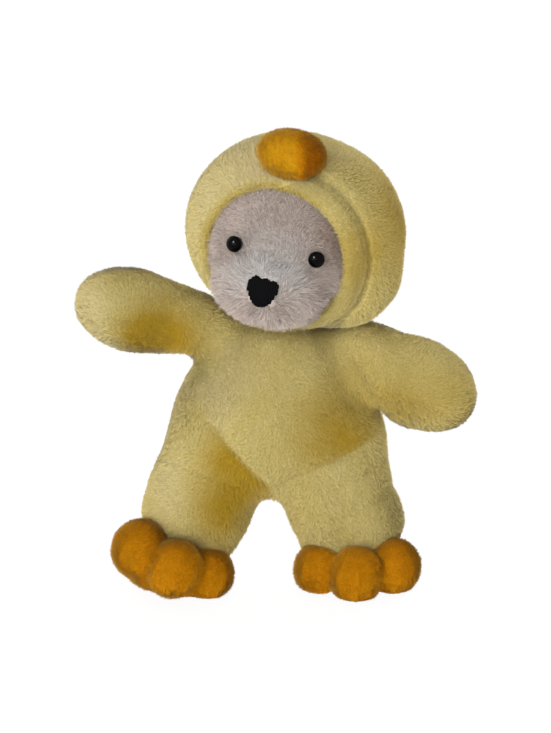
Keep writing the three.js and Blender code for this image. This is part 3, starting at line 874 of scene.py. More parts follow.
def between(rings, share):
    """A ring part of the way along a smooth curve through the rings."""
    table = np.array(rings, float)
    place = share * (len(table) - 1)
    index = min(int(place), len(table) - 2)
    part = place - index
    before = table[max(index - 1, 0)]
    start, end = table[index], table[index + 1]
    after = table[min(index + 2, len(table) - 1)]
    bend = 2 * before - 5 * start + 4 * end - after + part * (3 * (start - end) + after - before)
    return start + 0.5 * part * (end - before + part * bend)


def loft(name, place, rings, cap_below, cap_above):
    low, high = rings[0], rings[-1]
    angles = [step / CAP_STEPS * math.pi / 2 for step in range(CAP_STEPS)]
    turns = [(math.cos(angle), math.sin(angle)) for angle in angles]
    profile = [(low[0] - cap_below * cosine, low[1] * sine, low[2] * sine) for cosine, sine in turns]
    profile += [between(rings, step / LOFT_STEPS) for step in range(LOFT_STEPS)]
    profile += [(high[0] + cap_above * sine, high[1] * cosine, high[2] * cosine) for cosine, sine in turns]
    turn = np.linspace(0, 2 * np.pi, LOFT_SIDES, endpoint=False)
    circle = np.stack([np.cos(turn) / 2, np.sin(turn) / 2], 1)
    rows = []
    for height, width, depth in profile:
        spread = circle * (max(width, NARROWEST), max(depth, NARROWEST))
        rows.append(np.column_stack([spread, np.full(LOFT_SIDES, height)]))
    places = from_place(place, np.concatenate(rows) * MM)
    last = (len(rows) - 1) * LOFT_SIDES
    faces = ring_faces(len(rows), LOFT_SIDES)
    faces += [tuple(range(LOFT_SIDES))[::-1], tuple(range(last, last + LOFT_SIDES))]
    return mesh_object(name, places, [], faces)


torso_form = loft("torso_form", torso_place, TORSO_RINGS, TORSO_CAP_BELOW, TORSO_CAP_ABOVE)
print("torso form:", [round(value / MM) for value in torso_form.dimensions], "mm")

# %% Limb forms
LIMBS = ("arm_left", "arm_right", "leg_left", "leg_right")
ARMS = LIMBS[:2]
LEGS = LIMBS[2:]
LIMB_PANELS = {"arm": ("front", "back"), "leg": ("outer", "inner")}
LIMB_VOXEL = 2.5 * MM
limb_nodes = {}
forms = {"torso": torso_form}
for limb in LIMBS:
    limb_nodes[limb] = [f"{limb}_{panel}_panel" for panel in LIMB_PANELS[limb[:3]]] + [f"{limb}_stuffing"]
    forms[limb] = melted(joined_nodes(limb + "_form", limb_nodes[limb]), LIMB_VOXEL)
    relax(forms[limb].data, 6)
searches = {name: tree_of(form) for name, form in forms.items()}
print("forms:", {name: len(form.data.vertices) for name, form in forms.items()})

# %% Body grown together and swollen
BODY_VOXEL = 3.2 * MM
UNDER_PILE = 0.6 * MM  # of the cloth, inside the solid's surface, before it swells
# Where the stuffing packs fuller: middle and radius of a place, and how far it stands out, in millimetres.
FULLER = (
    ((64, 0, 84), 40, 6.5),
    ((74, -3, 44), 32, 6.0),
    ((-20, -5, 45), 30, 6.0),
    ((-28, -5, 26), 22, 4.5),
    ((14, 0, 45), 26, 2.5),
    ((-2, 0, 58), 18, 2.5),
    ((-95, -5, 150), 36, 2.0),
    ((-108, -5, 175), 26, 2.5),
    ((90, -10, 135), 45, 2.0),
    ((98, -10, 112), 30, 3.5),
    ((62, -5, 165), 24, 4.0),
    ((88, -8, 158), 26, 3.0),
)
FULLER_TOES = (((80, -20, 26), 24, 4.5), ((-86, -20, 32), 22, 2.5))
FULLER_EDGE = (1.2, 0.3)  # shares of the radius where a place ends and where it is fullest
# Where seams run over the front: low and high end, across and up, and the crease's depth, in millimetres.
SEAMS = {
    "hip_left": ((3, 71), (50, 94), 2.2),
    "hip_right": ((-5, 70), (-39, 110), 2.2),
    "arm_left": ((57, 124), (39, 168), 3.0),
    "leg_left": ((42, 40), (41, 70), 1.0),
    "leg_right": ((-50, 44), (-47, 76), 0.7),
    "middle": ((-3, 70), (-2, 90), 1.0),
}
CREASE_HALF = 2.4 * MM
SEAM_REACH = 3.5 * MM
JOIN_SOFT = 15 * MM
JOIN_ROUNDS = 30
HIP_SOFT = 24 * MM
HIP_ROUNDS = 60
FOOT_NEAR = (10 * MM, 2 * MM)  # where a leg begins to draw in towards its foot, and where it is all in
LEG_TUCK = 4 * MM  # of a leg's end into its foot
FACING_DOWN = -0.3
BODY_CAP = 2.2 * MM
SIDES = ("left", "right")
FOOT_PARTS = ("upper_panel", "sole_panel", "stuffing")


def shrink(mesh, distance):
    set_points(mesh, points_of(mesh) - normals_of(mesh) * np.reshape(distance, (-1, 1)))


def fuller(places, spots):
    total = np.zeros(len(places))
    for middle, radius, rise in spots:
        total = np.maximum(total, rise * MM * in_ball(places, middle, radius, FULLER_EDGE))
    return total


def past_seam(seam, places):
    """How far each place is past a seam, on its right as one follows it, and how far along the seam."""
    low, high = (np.array(end) * MM for end in SEAMS[seam][:2])
    length = np.linalg.norm(high - low)
    along = (high - low) / length
    across = np.array((along[1], -along[0]))
    from_low = places[:, (0, 2)] - low
    return from_low @ across, from_low @ along / length


def crease(seam, places):
    past, share = past_seam(seam, places)
    fade = smooth_step(-0.1, 0.05, share) * smooth_step(1.25, 0.85, share)
    fade *= smooth_step(4 * MM, 14 * MM, -places[:, 1])
    return SEAMS[seam][2] * MM * fade * bell(past, CREASE_HALF)


def from_join(limbs):
    """How far each point of the body is from where the torso and the nearest of these limbs meet."""
    return np.maximum(apart["torso"], np.min([apart[limb] for limb in limbs], axis=0))


body = melted(joined("body", forms.values()), BODY_VOXEL)
relax(body.data, 5)
places = points_of(body.data)
apart = {name: distances(search, places) for name, search in searches.items()}
foot_nodes = {side: [f"foot_{side}_{part}" for part in FOOT_PARTS] for side in SIDES}
feet_form = joined_nodes("feet_form", foot_nodes["left"] + foot_nodes["right"])
at_foot = smooth_step(*FOOT_NEAR, distances(tree_of(feet_form), places))
bpy.data.objects.remove(feet_form)
relax(body.data, JOIN_ROUNDS, free=smooth_step(JOIN_SOFT, SEAM_REACH, from_join(LIMBS)))
relax(body.data, HIP_ROUNDS, free=smooth_step(HIP_SOFT, SEAM_REACH, from_join(LEGS)))
shrink(body.data, UNDER_PILE * (1 - at_foot) - fuller(places, FULLER))
places = points_of(body.data)
places[:, 2] -= LEG_TUCK * at_foot * (normals_of(body.data)[:, 2] < FACING_DOWN)
set_points(body.data, places)
stuff(body, smooth_step(SEAM_REACH * 1.6, SEAM_REACH * 0.6, from_join(ARMS)), BODY_CAP)
subdivided(body)
places = points_of(body.data)
shrink(body.data, np.max([crease(seam, places) for seam in SEAMS], axis=0))
print("body:", len(body.data.vertices), "points")

# %% [markdown]
# ## Cutting the body where it bends
# Arms and legs swing, so each becomes a cover of its own, cut from the body across the limb near where it
# joins, and closed where it was cut.

# %% Limb cuts
CROTCH = Vector((-0.002, 0, 0.056))
LEG_BLEND = 30 * MM  # from the crotch along the leg, the cut's span, whose end gives the leg's way
ARM_BLEND = (9 * MM, 38 * MM)  # from the shoulder's joint along the arm: where the cover begins, and the span's end that gives the arm's way
ARM_LOWEST = 90 * MM
LEG_HIGHEST = 100 * MM
# The way that each limb points.
LIMB_WAYS = {
    "arm_left": Vector((0.96, 0, 0.276)),
    "arm_right": Vector((-0.912, 0, 0.407)),
    "leg_left": Vector((0.342, 0, -0.94)),
    "leg_right": Vector((-0.333, -0.225, -0.916)),
}
cuts = {}
for limb, way in LIMB_WAYS.items():
    if limb in ARMS:
        shoulder = Vector(joints["shoulder_" + limb[4:]]["pos_m"])
        cuts[limb] = tuple(shoulder + way * reach for reach in ARM_BLEND)
    else:
        cuts[limb] = (CROTCH, CROTCH + way * LEG_BLEND)


def beyond(limb, places):
    start, end = cuts[limb]
    return (places - np.array(start)) @ np.array((end - start).normalized())


def on_side(side, places):
    """Which places are on that side of the crotch."""
    return places[:, 0] > CROTCH.x if side == "left" else places[:, 0] <= CROTCH.x


middles = face_middles(body.data)
face_apart = {name: distances(searches[name], middles) for name in ("torso", *ARMS)}
owner = np.zeros(len(middles), int)
for number, limb in enumerate(LIMBS, 1):
    takes = (beyond(limb, middles) > 0) & on_side(limb[4:], middles)
    if limb in ARMS:
        takes &= (face_apart[limb] < face_apart["torso"]) & (middles[:, 2] > ARM_LOWEST)
    else:
        takes &= middles[:, 2] < LEG_HIGHEST
    owner[takes] = number


def cut_out(name, number):
    form = bmesh.new()
    form.from_mesh(body.data)
    form.faces.ensure_lookup_table()
    others = [face for face in form.faces if owner[face.index] != number]
    bmesh.ops.delete(form, geom=others, context="FACES")
    closing = form.faces.layers.int.new("closing")
    rim = [edge for edge in form.edges if edge.is_boundary]
    filled = bmesh.ops.holes_fill(form, edges=rim, sides=0)["faces"]
    for face in bmesh.ops.poke(form, faces=filled)["faces"]:
        face[closing] = 1
    bmesh.ops.recalc_face_normals(form, faces=form.faces)
    return from_form(name, form)


covers = {}
for number, name in enumerate(("torso",) + LIMBS):
    covers[name] = cut_out(name + "_cover", number)
print("covers:", {name: len(cover.data.polygons) for name, cover in covers.items()})
bpy.data.objects.remove(body)

# %% [markdown]
# ## Feet and bill
# The feet and the bill are small stuffed forms in orange plush. The solids give their toes and lips, the
# remesh melts them together, and the pressure rounds each toe while the creases between them hold.

# %% Feet and bill
SMALL_VOXEL = 2.0 * MM
FULL_HOLLOW = 0.25 * MM  # mean rise of a point's neighbours that makes a full crease
BESIDE_NEAR = (1 * MM, 6 * MM)  # where a cover keeps to its solid beside another piece, and where it is free
FLOOR_LIFT = 1.6 * MM  # of a sole's cloth, above the floor
FOOT_INSET = -0.4 * MM
FOOT_CAP = 1.6 * MM
BILL_INSET = 1.4 * MM
BILL_CAP = 1.2 * MM
BILL_SQUASH = 0.1  # share of its height that the bill has lost
BILL_ASIDE = 2 * MM  # that it is pushed to the bear's left
BILL_NODES = ("bill_upper_panel", "bill_lower_panel", "bill_stuffing")
HOOD_PANELS = ("hood_front_band", "hood_left_panel", "hood_right_panel")


def hollows(mesh, reach):
    """One in the creases of a form, where it is hollow, and nought elsewhere."""
    places = points_of(mesh)
    normals = normals_of(mesh)
    first, second, count = neighbours(mesh)
    lift = np.zeros(len(places))
    step = places[second] - places[first]
    np.add.at(lift, first, np.sum(step * normals[first], 1))
    np.add.at(lift, second, np.sum(-step * normals[second], 1))
    return smooth_step(0, reach, lift / count)


def small_cover(name, node_names, beside, inset, cap):
    piece = melted(joined_nodes(name, node_names), SMALL_VOXEL)
    relax(piece.data, 3)
    creases = hollows(piece.data, FULL_HOLLOW)
    places = points_of(piece.data)
    free = smooth_step(*BESIDE_NEAR, distances(beside, places))
    shrink(piece.data, inset * free - fuller(places, FULLER_TOES))
    stuff(piece, creases, cap)
    places = points_of(piece.data)
    places[:, 2] = np.maximum(places[:, 2], FLOOR_LIFT)
    set_points(piece.data, places)
    return subdivided(piece)


for side in SIDES:
    foot = "foot_" + side
    leg_search = searches["leg_" + side]
    covers[foot] = small_cover(foot + "_cover", foot_nodes[side], leg_search, FOOT_INSET, FOOT_CAP)
hood_form = joined_nodes("hood_form", HOOD_PANELS)
covers["bill"] = small_cover("bill_cover", BILL_NODES, tree_of(hood_form), BILL_INSET, BILL_CAP)
bpy.data.objects.remove(hood_form)
places = points_of(covers["bill"].data)
places[:, 2] += (places[:, 2].max() - places[:, 2]) * BILL_SQUASH
places[:, 0] += BILL_ASIDE
set_points(covers["bill"].data, places)
print("covers:", {name: len(cover.data.polygons) for name, cover in covers.items()})

# %% [markdown]
# ## Hood
# The hood is a round cover with a face opening: a soft rolled rim, a band about as wide as a thumb, a seam,
# and two panels that meet over the crown. Its points run in rings from inside the rim to the back of the
# head, so that the seams fall on rings and columns and can be pinned while the rest swells.

# %% Hood cover
HEAD_SIZE = np.array((66, 57, 60)) * MM  # half widths
HEAD_ROUND = 60 * MM  # radius of a ball of about that size
OPENING_RADIUS = 43 * MM
OPENING_DROP = 7 * MM
RIM_ROLL = 4.5 * MM
RIM_ANGLES = np.radians((-75, -45, -15, 15, 45, 70))  # round the roll, from inside the rim
RIM_TUCK = (7 * MM, 3 * MM)  # of the first ring, into the head and away from the opening
BAND = 15 * MM
BAND_STEPS = 8
BACK_STEPS = 30
BACK_SPREAD = 1.4  # above one, the rings are closer together by the band
HOOD_FLAT = -51 * MM  # under the head
HOOD_COLUMNS = 128
HOOD_INSET = 2.4 * MM
HOOD_CAP = 2.2 * MM
GROOVE = 3.4 * MM  # depth of the seam behind the band
GROOVE_HALF = 4.5 * MM
BAND_CROWN = 1.2 * MM
HOOD_FULLER = 1.8 * MM  # on the bear's left
CHEEK_PLACE = np.array((54, 0, -32)) * MM  # where the hood sags over the shoulder
CHEEK_REACH = 34 * MM
CHEEK_RISE = 6 * MM
LAST_HELD = 2  # number of the last ring inside the rim that is held
CROWN_HALF = 1.2 * MM  # of the seam over the crown
CROWN_LOWEST = -30 * MM
CROWN_HOLD = 0.35
SEAM_SINK = 0.3 * MM


def seam_opens(x):
    """The seam behind the band gapes on the bear's left and lies flat on its right."""
    return smooth_step(-20 * MM, 15 * MM, x)


def outward_from(places, size):
    """The way that an egg of this size faces."""
    outward = places / size**2
    return outward / np.linalg.norm(outward, axis=1, keepdims=True)


def hood_rings():
    turn = np.linspace(0, 2 * np.pi, HOOD_COLUMNS, endpoint=False)
    size = HEAD_SIZE - HOOD_INSET
    x = OPENING_RADIUS * np.cos(turn)
    z = OPENING_RADIUS * np.sin(turn) - OPENING_DROP
    y = -size[1] * np.sqrt(1 - (x / size[0]) ** 2 - (z / size[2]) ** 2)
    ball = np.stack([x, y, z], 1) / size
    back = np.array((0, 1, 0))
    whole = np.arccos(ball @ back)[:, None]
    girth = HEAD_ROUND * whole

    def at(distance):
        share = distance / girth
        place = np.sin((1 - share) * whole) * ball + np.sin(share * whole) * back
        place = place / np.sin(whole) * size
        open_seam = seam_opens(place[:, :1])
        relief = -GROOVE * open_seam * bell(distance - BAND, GROOVE_HALF)
        relief += HOOD_FULLER * smooth_step(10 * MM, 50 * MM, place[:, :1])
        from_cheek = np.linalg.norm(place - CHEEK_PLACE, axis=1, keepdims=True)
        relief += CHEEK_RISE * smooth_step(CHEEK_REACH, CHEEK_REACH * 0.2, from_cheek)
        relief += open_seam * BAND_CROWN * bell(distance - BAND * 0.5, BAND * 0.3)
        return place + outward_from(place, size) * relief

    start = at(RIM_ROLL)
    outward = outward_from(start, size)
    away = along_surface(at(2 * RIM_ROLL) - start, outward)
    middle = start - outward * RIM_ROLL
    rings = [middle - outward * RIM_TUCK[0] + away * RIM_TUCK[1]]
    for angle in RIM_ANGLES:
        rings.append(middle + RIM_ROLL * (outward * math.sin(angle) - away * math.cos(angle)))
    for step in range(BAND_STEPS + 1):
        rings.append(at(RIM_ROLL + (BAND - RIM_ROLL) * step / BAND_STEPS))
    seam = len(rings) - 1
    for step in range(1, BACK_STEPS):
        rings.append(at(BAND + (girth - BAND) * (step / BACK_STEPS) ** BACK_SPREAD))
    return np.array(rings), seam, np.array((0, size[1], 0))


rings, seam_ring, pole = hood_rings()
count = len(rings)
hood_points = np.concatenate([rings.reshape(-1, 3), pole[None]])
hood_points[:, 2] = np.maximum(hood_points[:, 2], HOOD_FLAT)
facing_in = ring_faces(count, HOOD_COLUMNS) + fan_faces(count - 1, HOOD_COLUMNS)
hood_faces = [face[:1] + face[:0:-1] for face in facing_in]
hood = mesh_object("hood_cover", from_place(head_place, hood_points), [], hood_faces)
ring_number = np.append(np.repeat(np.arange(count), HOOD_COLUMNS), count)
on_seam = ring_number == seam_ring
on_crown = (np.abs(hood_points[:, 0]) < CROWN_HALF) & (hood_points[:, 2] > CROWN_LOWEST)
held = np.zeros(len(hood_points))
held[ring_number <= LAST_HELD] = 1
held[on_seam] = seam_opens(hood_points[on_seam, 0])
held[on_crown & (ring_number > seam_ring)] = CROWN_HOLD
held[hood_points[:, 2] <= HOOD_FLAT + TOUCHING] = 1
stuff(hood, held, HOOD_CAP)
places = points_of(hood.data)
places[held == 1] -= normals_of(hood.data)[held == 1] * SEAM_SINK
set_points(hood.data, places)
covers["hood"] = subdivided(hood)
print("hood:", len(covers["hood"].data.polygons), "faces, seam on ring", seam_ring)

# %% [markdown]
# ## Face
# The face is sewn of two forehead panels and two muzzle panels over the stuffed head. The remesh makes one
# form of them. Its seams, down the forehead and the chin, are shallow grooves, and the eyes are pulled in a
# little by their washers.

# %% Face cover
FACE_NODES = (
    "forehead_left_panel",
    "forehead_right_panel",
    "muzzle_left_panel",
    "muzzle_right_panel",
    "head_stuffing",
)
EYE_X = 24.5 * MM
EYE_Z = -1 * MM
EYE_RADIUS = 4.5 * MM
EYE_DOME = 3.8 * MM
EYE_DENT = 1.6 * MM
EYE_DENT_HALF = 7 * MM
EYE_INSET = 4.3 * MM
NOSE_Z = -20 * MM
FACE_ASIDE = 2 * MM  # of the eyes and the nose, to the bear's left
FACE_VOXEL = 2.2 * MM
FACE_INSET = 2.2 * MM
FACE_CAP = 1.2 * MM
FACE_FRONT = -20 * MM
FACE_SEAM = 0.9 * MM  # depth of its grooves


def face_depth(x, z):
    size = HEAD_SIZE - EYE_INSET
    return -size[1] * math.sqrt(1 - (x / size[0]) ** 2 - (z / size[2]) ** 2)


eye_places = []
for eye_x in (EYE_X + FACE_ASIDE, FACE_ASIDE - EYE_X):
    eye_places.append(Vector((eye_x, face_depth(eye_x, EYE_Z), EYE_Z)))
face = melted(joined_nodes("face_cover", FACE_NODES), FACE_VOXEL)
relax(face.data, 4)
creases = hollows(face.data, FULL_HOLLOW)
shrink(face.data, FACE_INSET)
stuff(face, creases, FACE_CAP)
subdivided(face)
places = points_of(face.data)
local = in_place(head_place, places)
dent = np.zeros(len(places))
for eye_place in eye_places:
    dent += EYE_DENT * bell(np.linalg.norm(local - np.array(eye_place), axis=1), EYE_DENT_HALF)
forehead_seam = bell(local[:, 0], 1.6 * MM) * smooth_step(-6 * MM, 2 * MM, local[:, 2])
chin_seam = bell(local[:, 0], 1.4 * MM) * smooth_step(-26 * MM, -30 * MM, local[:, 2])
dent += (local[:, 1] < FACE_FRONT) * FACE_SEAM * np.maximum(forehead_seam, chin_seam)
shrink(face.data, dent)
covers["face"] = face
print("face:", len(face.data.polygons), "faces")

# %% [markdown]
# ## Neck
# A small stuffed ball joins the hood to the collar. It hardly shows, but it turns with the nod and closes
# the gap.

# %% Neck
NECK_NODES = ("neck_cover", "neck_stuffing")
NECK_VOXEL = 3 * MM
NECK_INSET = 1 * MM
NECK_CAP = 0.8 * MM
neck = melted(joined_nodes("neck_ball", NECK_NODES), NECK_VOXEL)
relax(neck.data, 4)
shrink(neck.data, NECK_INSET)
stuff(neck, np.zeros(len(neck.data.vertices)), NECK_CAP)
covers["neck"] = subdivided(neck)
print("neck:", len(neck.data.polygons), "faces")

# %% [markdown]
# ## How the pile lies
# Pile runs one way over each panel: down the body, out along the arms, down the legs, back from the face on
# the hood, and outwards from the nose on the face. Handling brushes patches of it the other way, which makes
# deep and pale clouds on the real bear. The patches here are soft balls in space, each with a sign: deep or
# pale. As colour they are also painted shade, on the sides turned from the key lamp, under the head, beside
# the hood and in the instep, and painted light on the sides towards the lamp.

# %% Combing, brushing, painted shade and light
# Middle, radius and strength of each patch, in millimetres, for each panel of the costume. Plus is deep pile
# and painted shade, minus is pale pile and painted light.
PATCHES = {
    # Partly the pile's brushing, partly painted shade and light: deep on the bear's left side and left arm,
    # which turn from the key lamp, in the left arm's crease and at the right arm's root under the head; pale
    # on the bear's right side and right arm, which face the lamp.
    "torso": (
        ((52, -34, 108), 36, 1.0),
        ((30, -44, 98), 28, 0.4),
        ((-50, -32, 135), 30, -0.8),
        ((-16, -42, 156), 26, -0.4),
        ((-66, -18, 154), 27, 1.4),
        ((-86, -20, 156), 20, 0.6),
        ((-42, -32, 156), 13, -0.8),
        ((-112, -8, 168), 26, -0.5),
        ((-98, -5, 140), 16, -0.5),
        ((46, -26, 142), 14, 0.8),
        ((85, -34, 132), 20, 0.25),
        ((112, -20, 118), 24, 0.3),
        ((62, -34, 150), 14, -0.3),
    ),
    # Deep on the inner side, turned from the key lamp, and pale on the outer side, facing it: partly the
    # pile's brushing, partly painted shade and painted light.
    "leg_right": (
        ((-16, -38, 74), 36, 1.2),
        ((-22, -38, 44), 28, 1.0),
        ((-34, -40, 98), 22, 0.6),
        ((-44, -42, 62), 26, 0.3),
        ((-48, -44, 56), 6, -0.7),
        ((-74, -20, 70), 26, -0.5),
    ),
    # Pale by the seam, which faces the key lamp, and deep further out: partly the pile's brushing, partly
    # painted light and painted shade.
    "leg_left": (
        ((18, -44, 70), 20, -0.6),
        ((36, -46, 76), 22, -0.4),
        ((42, -44, 50), 20, 0.35),
        ((64, -32, 60), 18, 0.3),
    ),
    # Painted light on the top and the bear's right, which face the key lamp, and painted shade on its left
    # and low by the face.
    "hood": (
        ((-60, -10, 240), 46, -0.3),
        ((-20, -30, 275), 40, -0.5),
        ((45, -10, 275), 45, -0.2),
        ((70, -5, 232), 40, 0.7),
        ((45, -45, 213), 20, 0.5),
    ),
    # Painted shade on the bear's left of the face beside the hood, and a small spot between the eyes over the
    # muzzle; the pale muzzle is partly whiter fur and partly painted light.
    "face": (
        ((34, -55, 243), 20, 1.0),
        ((40, -50, 222), 18, 1.0),
        ((34, -58, 204), 16, 0.8),
        ((4, -58, 214), 20, -0.8),
        ((-16, -58, 217), 22, -1.0),
        ((6, -56, 238), 7, 0.5),
    ),
    # Painted shade in the instep, where the leg meets the foot.
    "foot": (((-62, -18, 40), 13, 1.0),),
}
PATCH_EDGE = (1.5, 0.15)  # shares of the radius where a patch fades out and where it is full
RIM_SHADOW = 0.8  # painted shadow of the rim, on the hood and the face where the rim turns in
RIM_SHADOW_IN = 1 * MM
RIM_SHADOW_HALF = 2.5 * MM
BILL_LIT_TO_SHADED = (-0.7, 0.9)  # painted light on the bear's right of the bill, to painted shade on its left
BILL_TURNS = (0.45, 0.75)  # shares of its width where the one ends and the other begins


def patched(patches, places):
    total = np.zeros(len(places))
    for middle, radius, strength in patches:
        total += strength * in_ball(places, middle, radius, PATCH_EDGE)
    return np.clip(total, -1, 1)


def from_opening(local):
    """How far places in the head's own frame are from the axis of the face opening."""
    return np.hypot(local[:, 0], local[:, 2] + OPENING_DROP)


def brushed_and_shaded(name, places):
    """How a cover's pile is laid on: one is deep pile with painted shade, minus one pale pile with painted
    light. The hip seams part the panels sharply.
    """
    # The bill: painted light on the bear's right side, painted shade on its left.
    if name == "bill":
        low, high = places[:, 0].min(), places[:, 0].max()
        share = smooth_step(*BILL_TURNS, (places[:, 0] - low) / (high - low))
        return BILL_LIT_TO_SHADED[0] + (BILL_LIT_TO_SHADED[1] - BILL_LIT_TO_SHADED[0]) * share
    if name == "neck":
        return np.zeros(len(places))
    if name.startswith("foot"):
        return patched(PATCHES["foot"], places)
    if name in ("hood", "face"):
        local = in_place(head_place, places)
        # Painted shadow where the hood's rim turns in over the face, towards its top and the bear's right.
        at_rim = bell(from_opening(local) - OPENING_RADIUS + RIM_SHADOW_IN, RIM_SHADOW_HALF) * (local[:, 1] < 0)
        rim_shadow = RIM_SHADOW * at_rim * smooth_step(-30 * MM, 10 * MM, local[:, 2])
        rim_shadow *= smooth_step(45 * MM, 5 * MM, local[:, 0])
        return np.clip(patched(PATCHES[name], places) + rim_shadow, -1, 1)
    total = patched(PATCHES["torso"], places)
    for side in SIDES:
        past, share = past_seam("hip_" + side, places)
        towards_leg = past if side == "left" else -past
        on_leg = smooth_step(-1 * MM, 1 * MM, towards_leg) * on_side(side, places)
        on_leg = on_leg * smooth_step(1.5, 1.1, share)
        total += (patched(PATCHES["leg_" + side], places) - total) * on_leg
    return total


print("brushed patches:", {name: len(patches) for name, patches in PATCHES.items()})

# %% The way the pile lies
NOSE_PLACE = np.array((0, -0.07, NOSE_Z))
ARM_DROOP = 0.4  # of the pile, down from the way that the arm points
HOOD_BACK_WAY = np.array((0, 0.06, -0.05))  # of the pile behind the crown
BAND_TURNS = np.array((1.6, 0.64, 1.6))  # how far the pile of the band turns back to the face
FACE_SPREAD = (1, 0.3, 1)  # across, back and up
FORWARD = np.array((0, -1.0, 0))
arm_ways = {limb: np.array((cuts[limb][1] - cuts[limb][0]).normalized()) for limb in ARMS}


def pile_way(name, places):
    """The way that the pile of a cover is laid, before handling brushes it."""
    down = np.tile((0.0, 0.0, -1.0), (len(places), 1))
    if name in arm_ways:
        share = smooth_step(0, 25 * MM, beyond(name, places))[:, None]
        return down * (1 - share) + (arm_ways[name] + down * ARM_DROOP) * share
    turn = np.array(head_place)[:3, :3]
    local = in_place(head_place, places)
    if name == "hood":
        behind = smooth_step(-15 * MM, 25 * MM, local[:, 1])[:, None]
        outward = local * (1, 0, 1) + np.array((0, 0.03, OPENING_DROP))
        outward = outward * (1 - behind) + HOOD_BACK_WAY * behind
        on_band = (from_opening(local) < OPENING_RADIUS + BAND * 0.85) & (local[:, 1] < 0)
        outward *= 1 - (on_band * seam_opens(local[:, 0]))[:, None] * BAND_TURNS
        return outward @ turn.T
    if name == "face":
        return ((local - NOSE_PLACE) * FACE_SPREAD) @ turn.T
    if name == "bill":
        return down + FORWARD * 0.8
    if name.startswith("foot"):
        return down * 0.6 + FORWARD
    return down


print("arms point:", {limb: way.round(2).tolist() for limb, way in arm_ways.items()})

# %% Paint the covers
WANDER_SEED = 5
# Painted shade in the creases of the small pieces, mixed towards the deep colour of their pile.
CREASE_SHADOW = {"face": 0.2, "bill": 0.6, "foot_left": 0.6, "foot_right": 0.6}
CREASE_LIFT = 0.06 * MM
FINISH_OF = {"face": "cream", "bill": "orange", "foot_left": "orange", "foot_right": "orange"}


def paint_pile(name, keep, reach=None, wild=0.35, wave=60 * MM):
    mesh = covers[name].data
    places = points_of(mesh)
    normals = normals_of(mesh)
    flat = along_surface(pile_way(name, places), normals)
    flat = swirl(flat, normals, wild * wander(places, wave, WANDER_SEED) * np.pi)
    paint(mesh, "comb", "FLOAT_VECTOR", "POINT", flat)
    paint(mesh, "rest", "FLOAT_VECTOR", "POINT", places)
    paint(mesh, "under", "FLOAT_VECTOR", "POINT", normals)
    nap_and_shade = brushed_and_shaded(name, places)
    # Painted shade in the creases.
    if name in CREASE_SHADOW:
        nap_and_shade = nap_and_shade + CREASE_SHADOW[name] * hollows(mesh, CREASE_LIFT)
    paint(mesh, "nap_and_shade", "FLOAT", "POINT", nap_and_shade)
    paint(mesh, "reach", "FLOAT", "POINT", np.ones(len(places)) if reach is None else reach(places, normals))
    grows = keep(face_middles(mesh)).astype(float)
    closing = mesh.attributes.get("closing")
    if closing is not None:
        grows[read_array(closing.data, "value", 1, np.int32)[:, 0] > 0] = 0
    paint(mesh, "pile", "FLOAT", "FACE", grows)


def clear_of(*names):
    """Pile grows only outside these covers."""
    trees = [tree_of(covers[name]) for name in names]

    def keep(places):
        return ~np.any([inside(tree, places) for tree in trees], axis=0)

    return keep


EYE_CLEAR = 0.9  # share of an eye's radius that no pile grows under
NOSE_CLEAR = 7.5 * MM
NOSE_SHORT = 0.45  # share of the pile's length beside the nose
SOLE_SHORT = 0.7  # share of the pile's length that a sole lacks
SOLE_LOWEST = 6 * MM


def on_face(places):
    local = in_place(head_place, places)
    from_eyes = np.min([np.linalg.norm(local - np.array(place), axis=1) for place in eye_places], axis=0)
    muzzle = (local[:, 2] < -20 * MM) & (local[:, 1] < -30 * MM)
    in_opening = (from_opening(local) < OPENING_RADIUS + 2 * MM) | muzzle
    on_nose = (np.abs(local[:, 0] - FACE_ASIDE) < NOSE_CLEAR) & (np.abs(local[:, 2] - NOSE_Z) < NOSE_CLEAR)
    return in_opening & (local[:, 1] < 0) & (from_eyes > EYE_RADIUS * EYE_CLEAR) & ~on_nose


def face_reach(places, normals):
    """The pile of the face is longest low down and on the bear's left, and short beside the nose."""
    local = in_place(head_place, places)
    low_down = smooth_step(4 * MM, -20 * MM, local[:, 2])
    to_left = smooth_step(0, 30 * MM, local[:, 0])
    from_nose = smooth_step(7 * MM, 18 * MM, np.hypot(local[:, 0], local[:, 2] - NOSE_Z))
    return (0.62 + 0.5 * low_down + 0.25 * to_left) * (NOSE_SHORT + (1 - NOSE_SHORT) * from_nose)


def sole_reach(places, normals):
    return 1 - SOLE_SHORT * smooth_step(-0.5, -0.9, normals[:, 2]) * (places[:, 2] < SOLE_LOWEST)


paint_pile("torso", clear_of("face", "neck"))
for side in SIDES:
    paint_pile("arm_" + side, clear_of("face"))
    paint_pile("leg_" + side, clear_of("foot_" + side))
    paint_pile("foot_" + side, clear_of("leg_" + side), sole_reach)
paint_pile("hood", clear_of("face", "bill"))
paint_pile("bill", clear_of("face"))
paint_pile("face", on_face, face_reach, 0.3, 18 * MM)
paint_pile("neck", clear_of("face", "hood"))
print("covers painted:", sorted(covers))

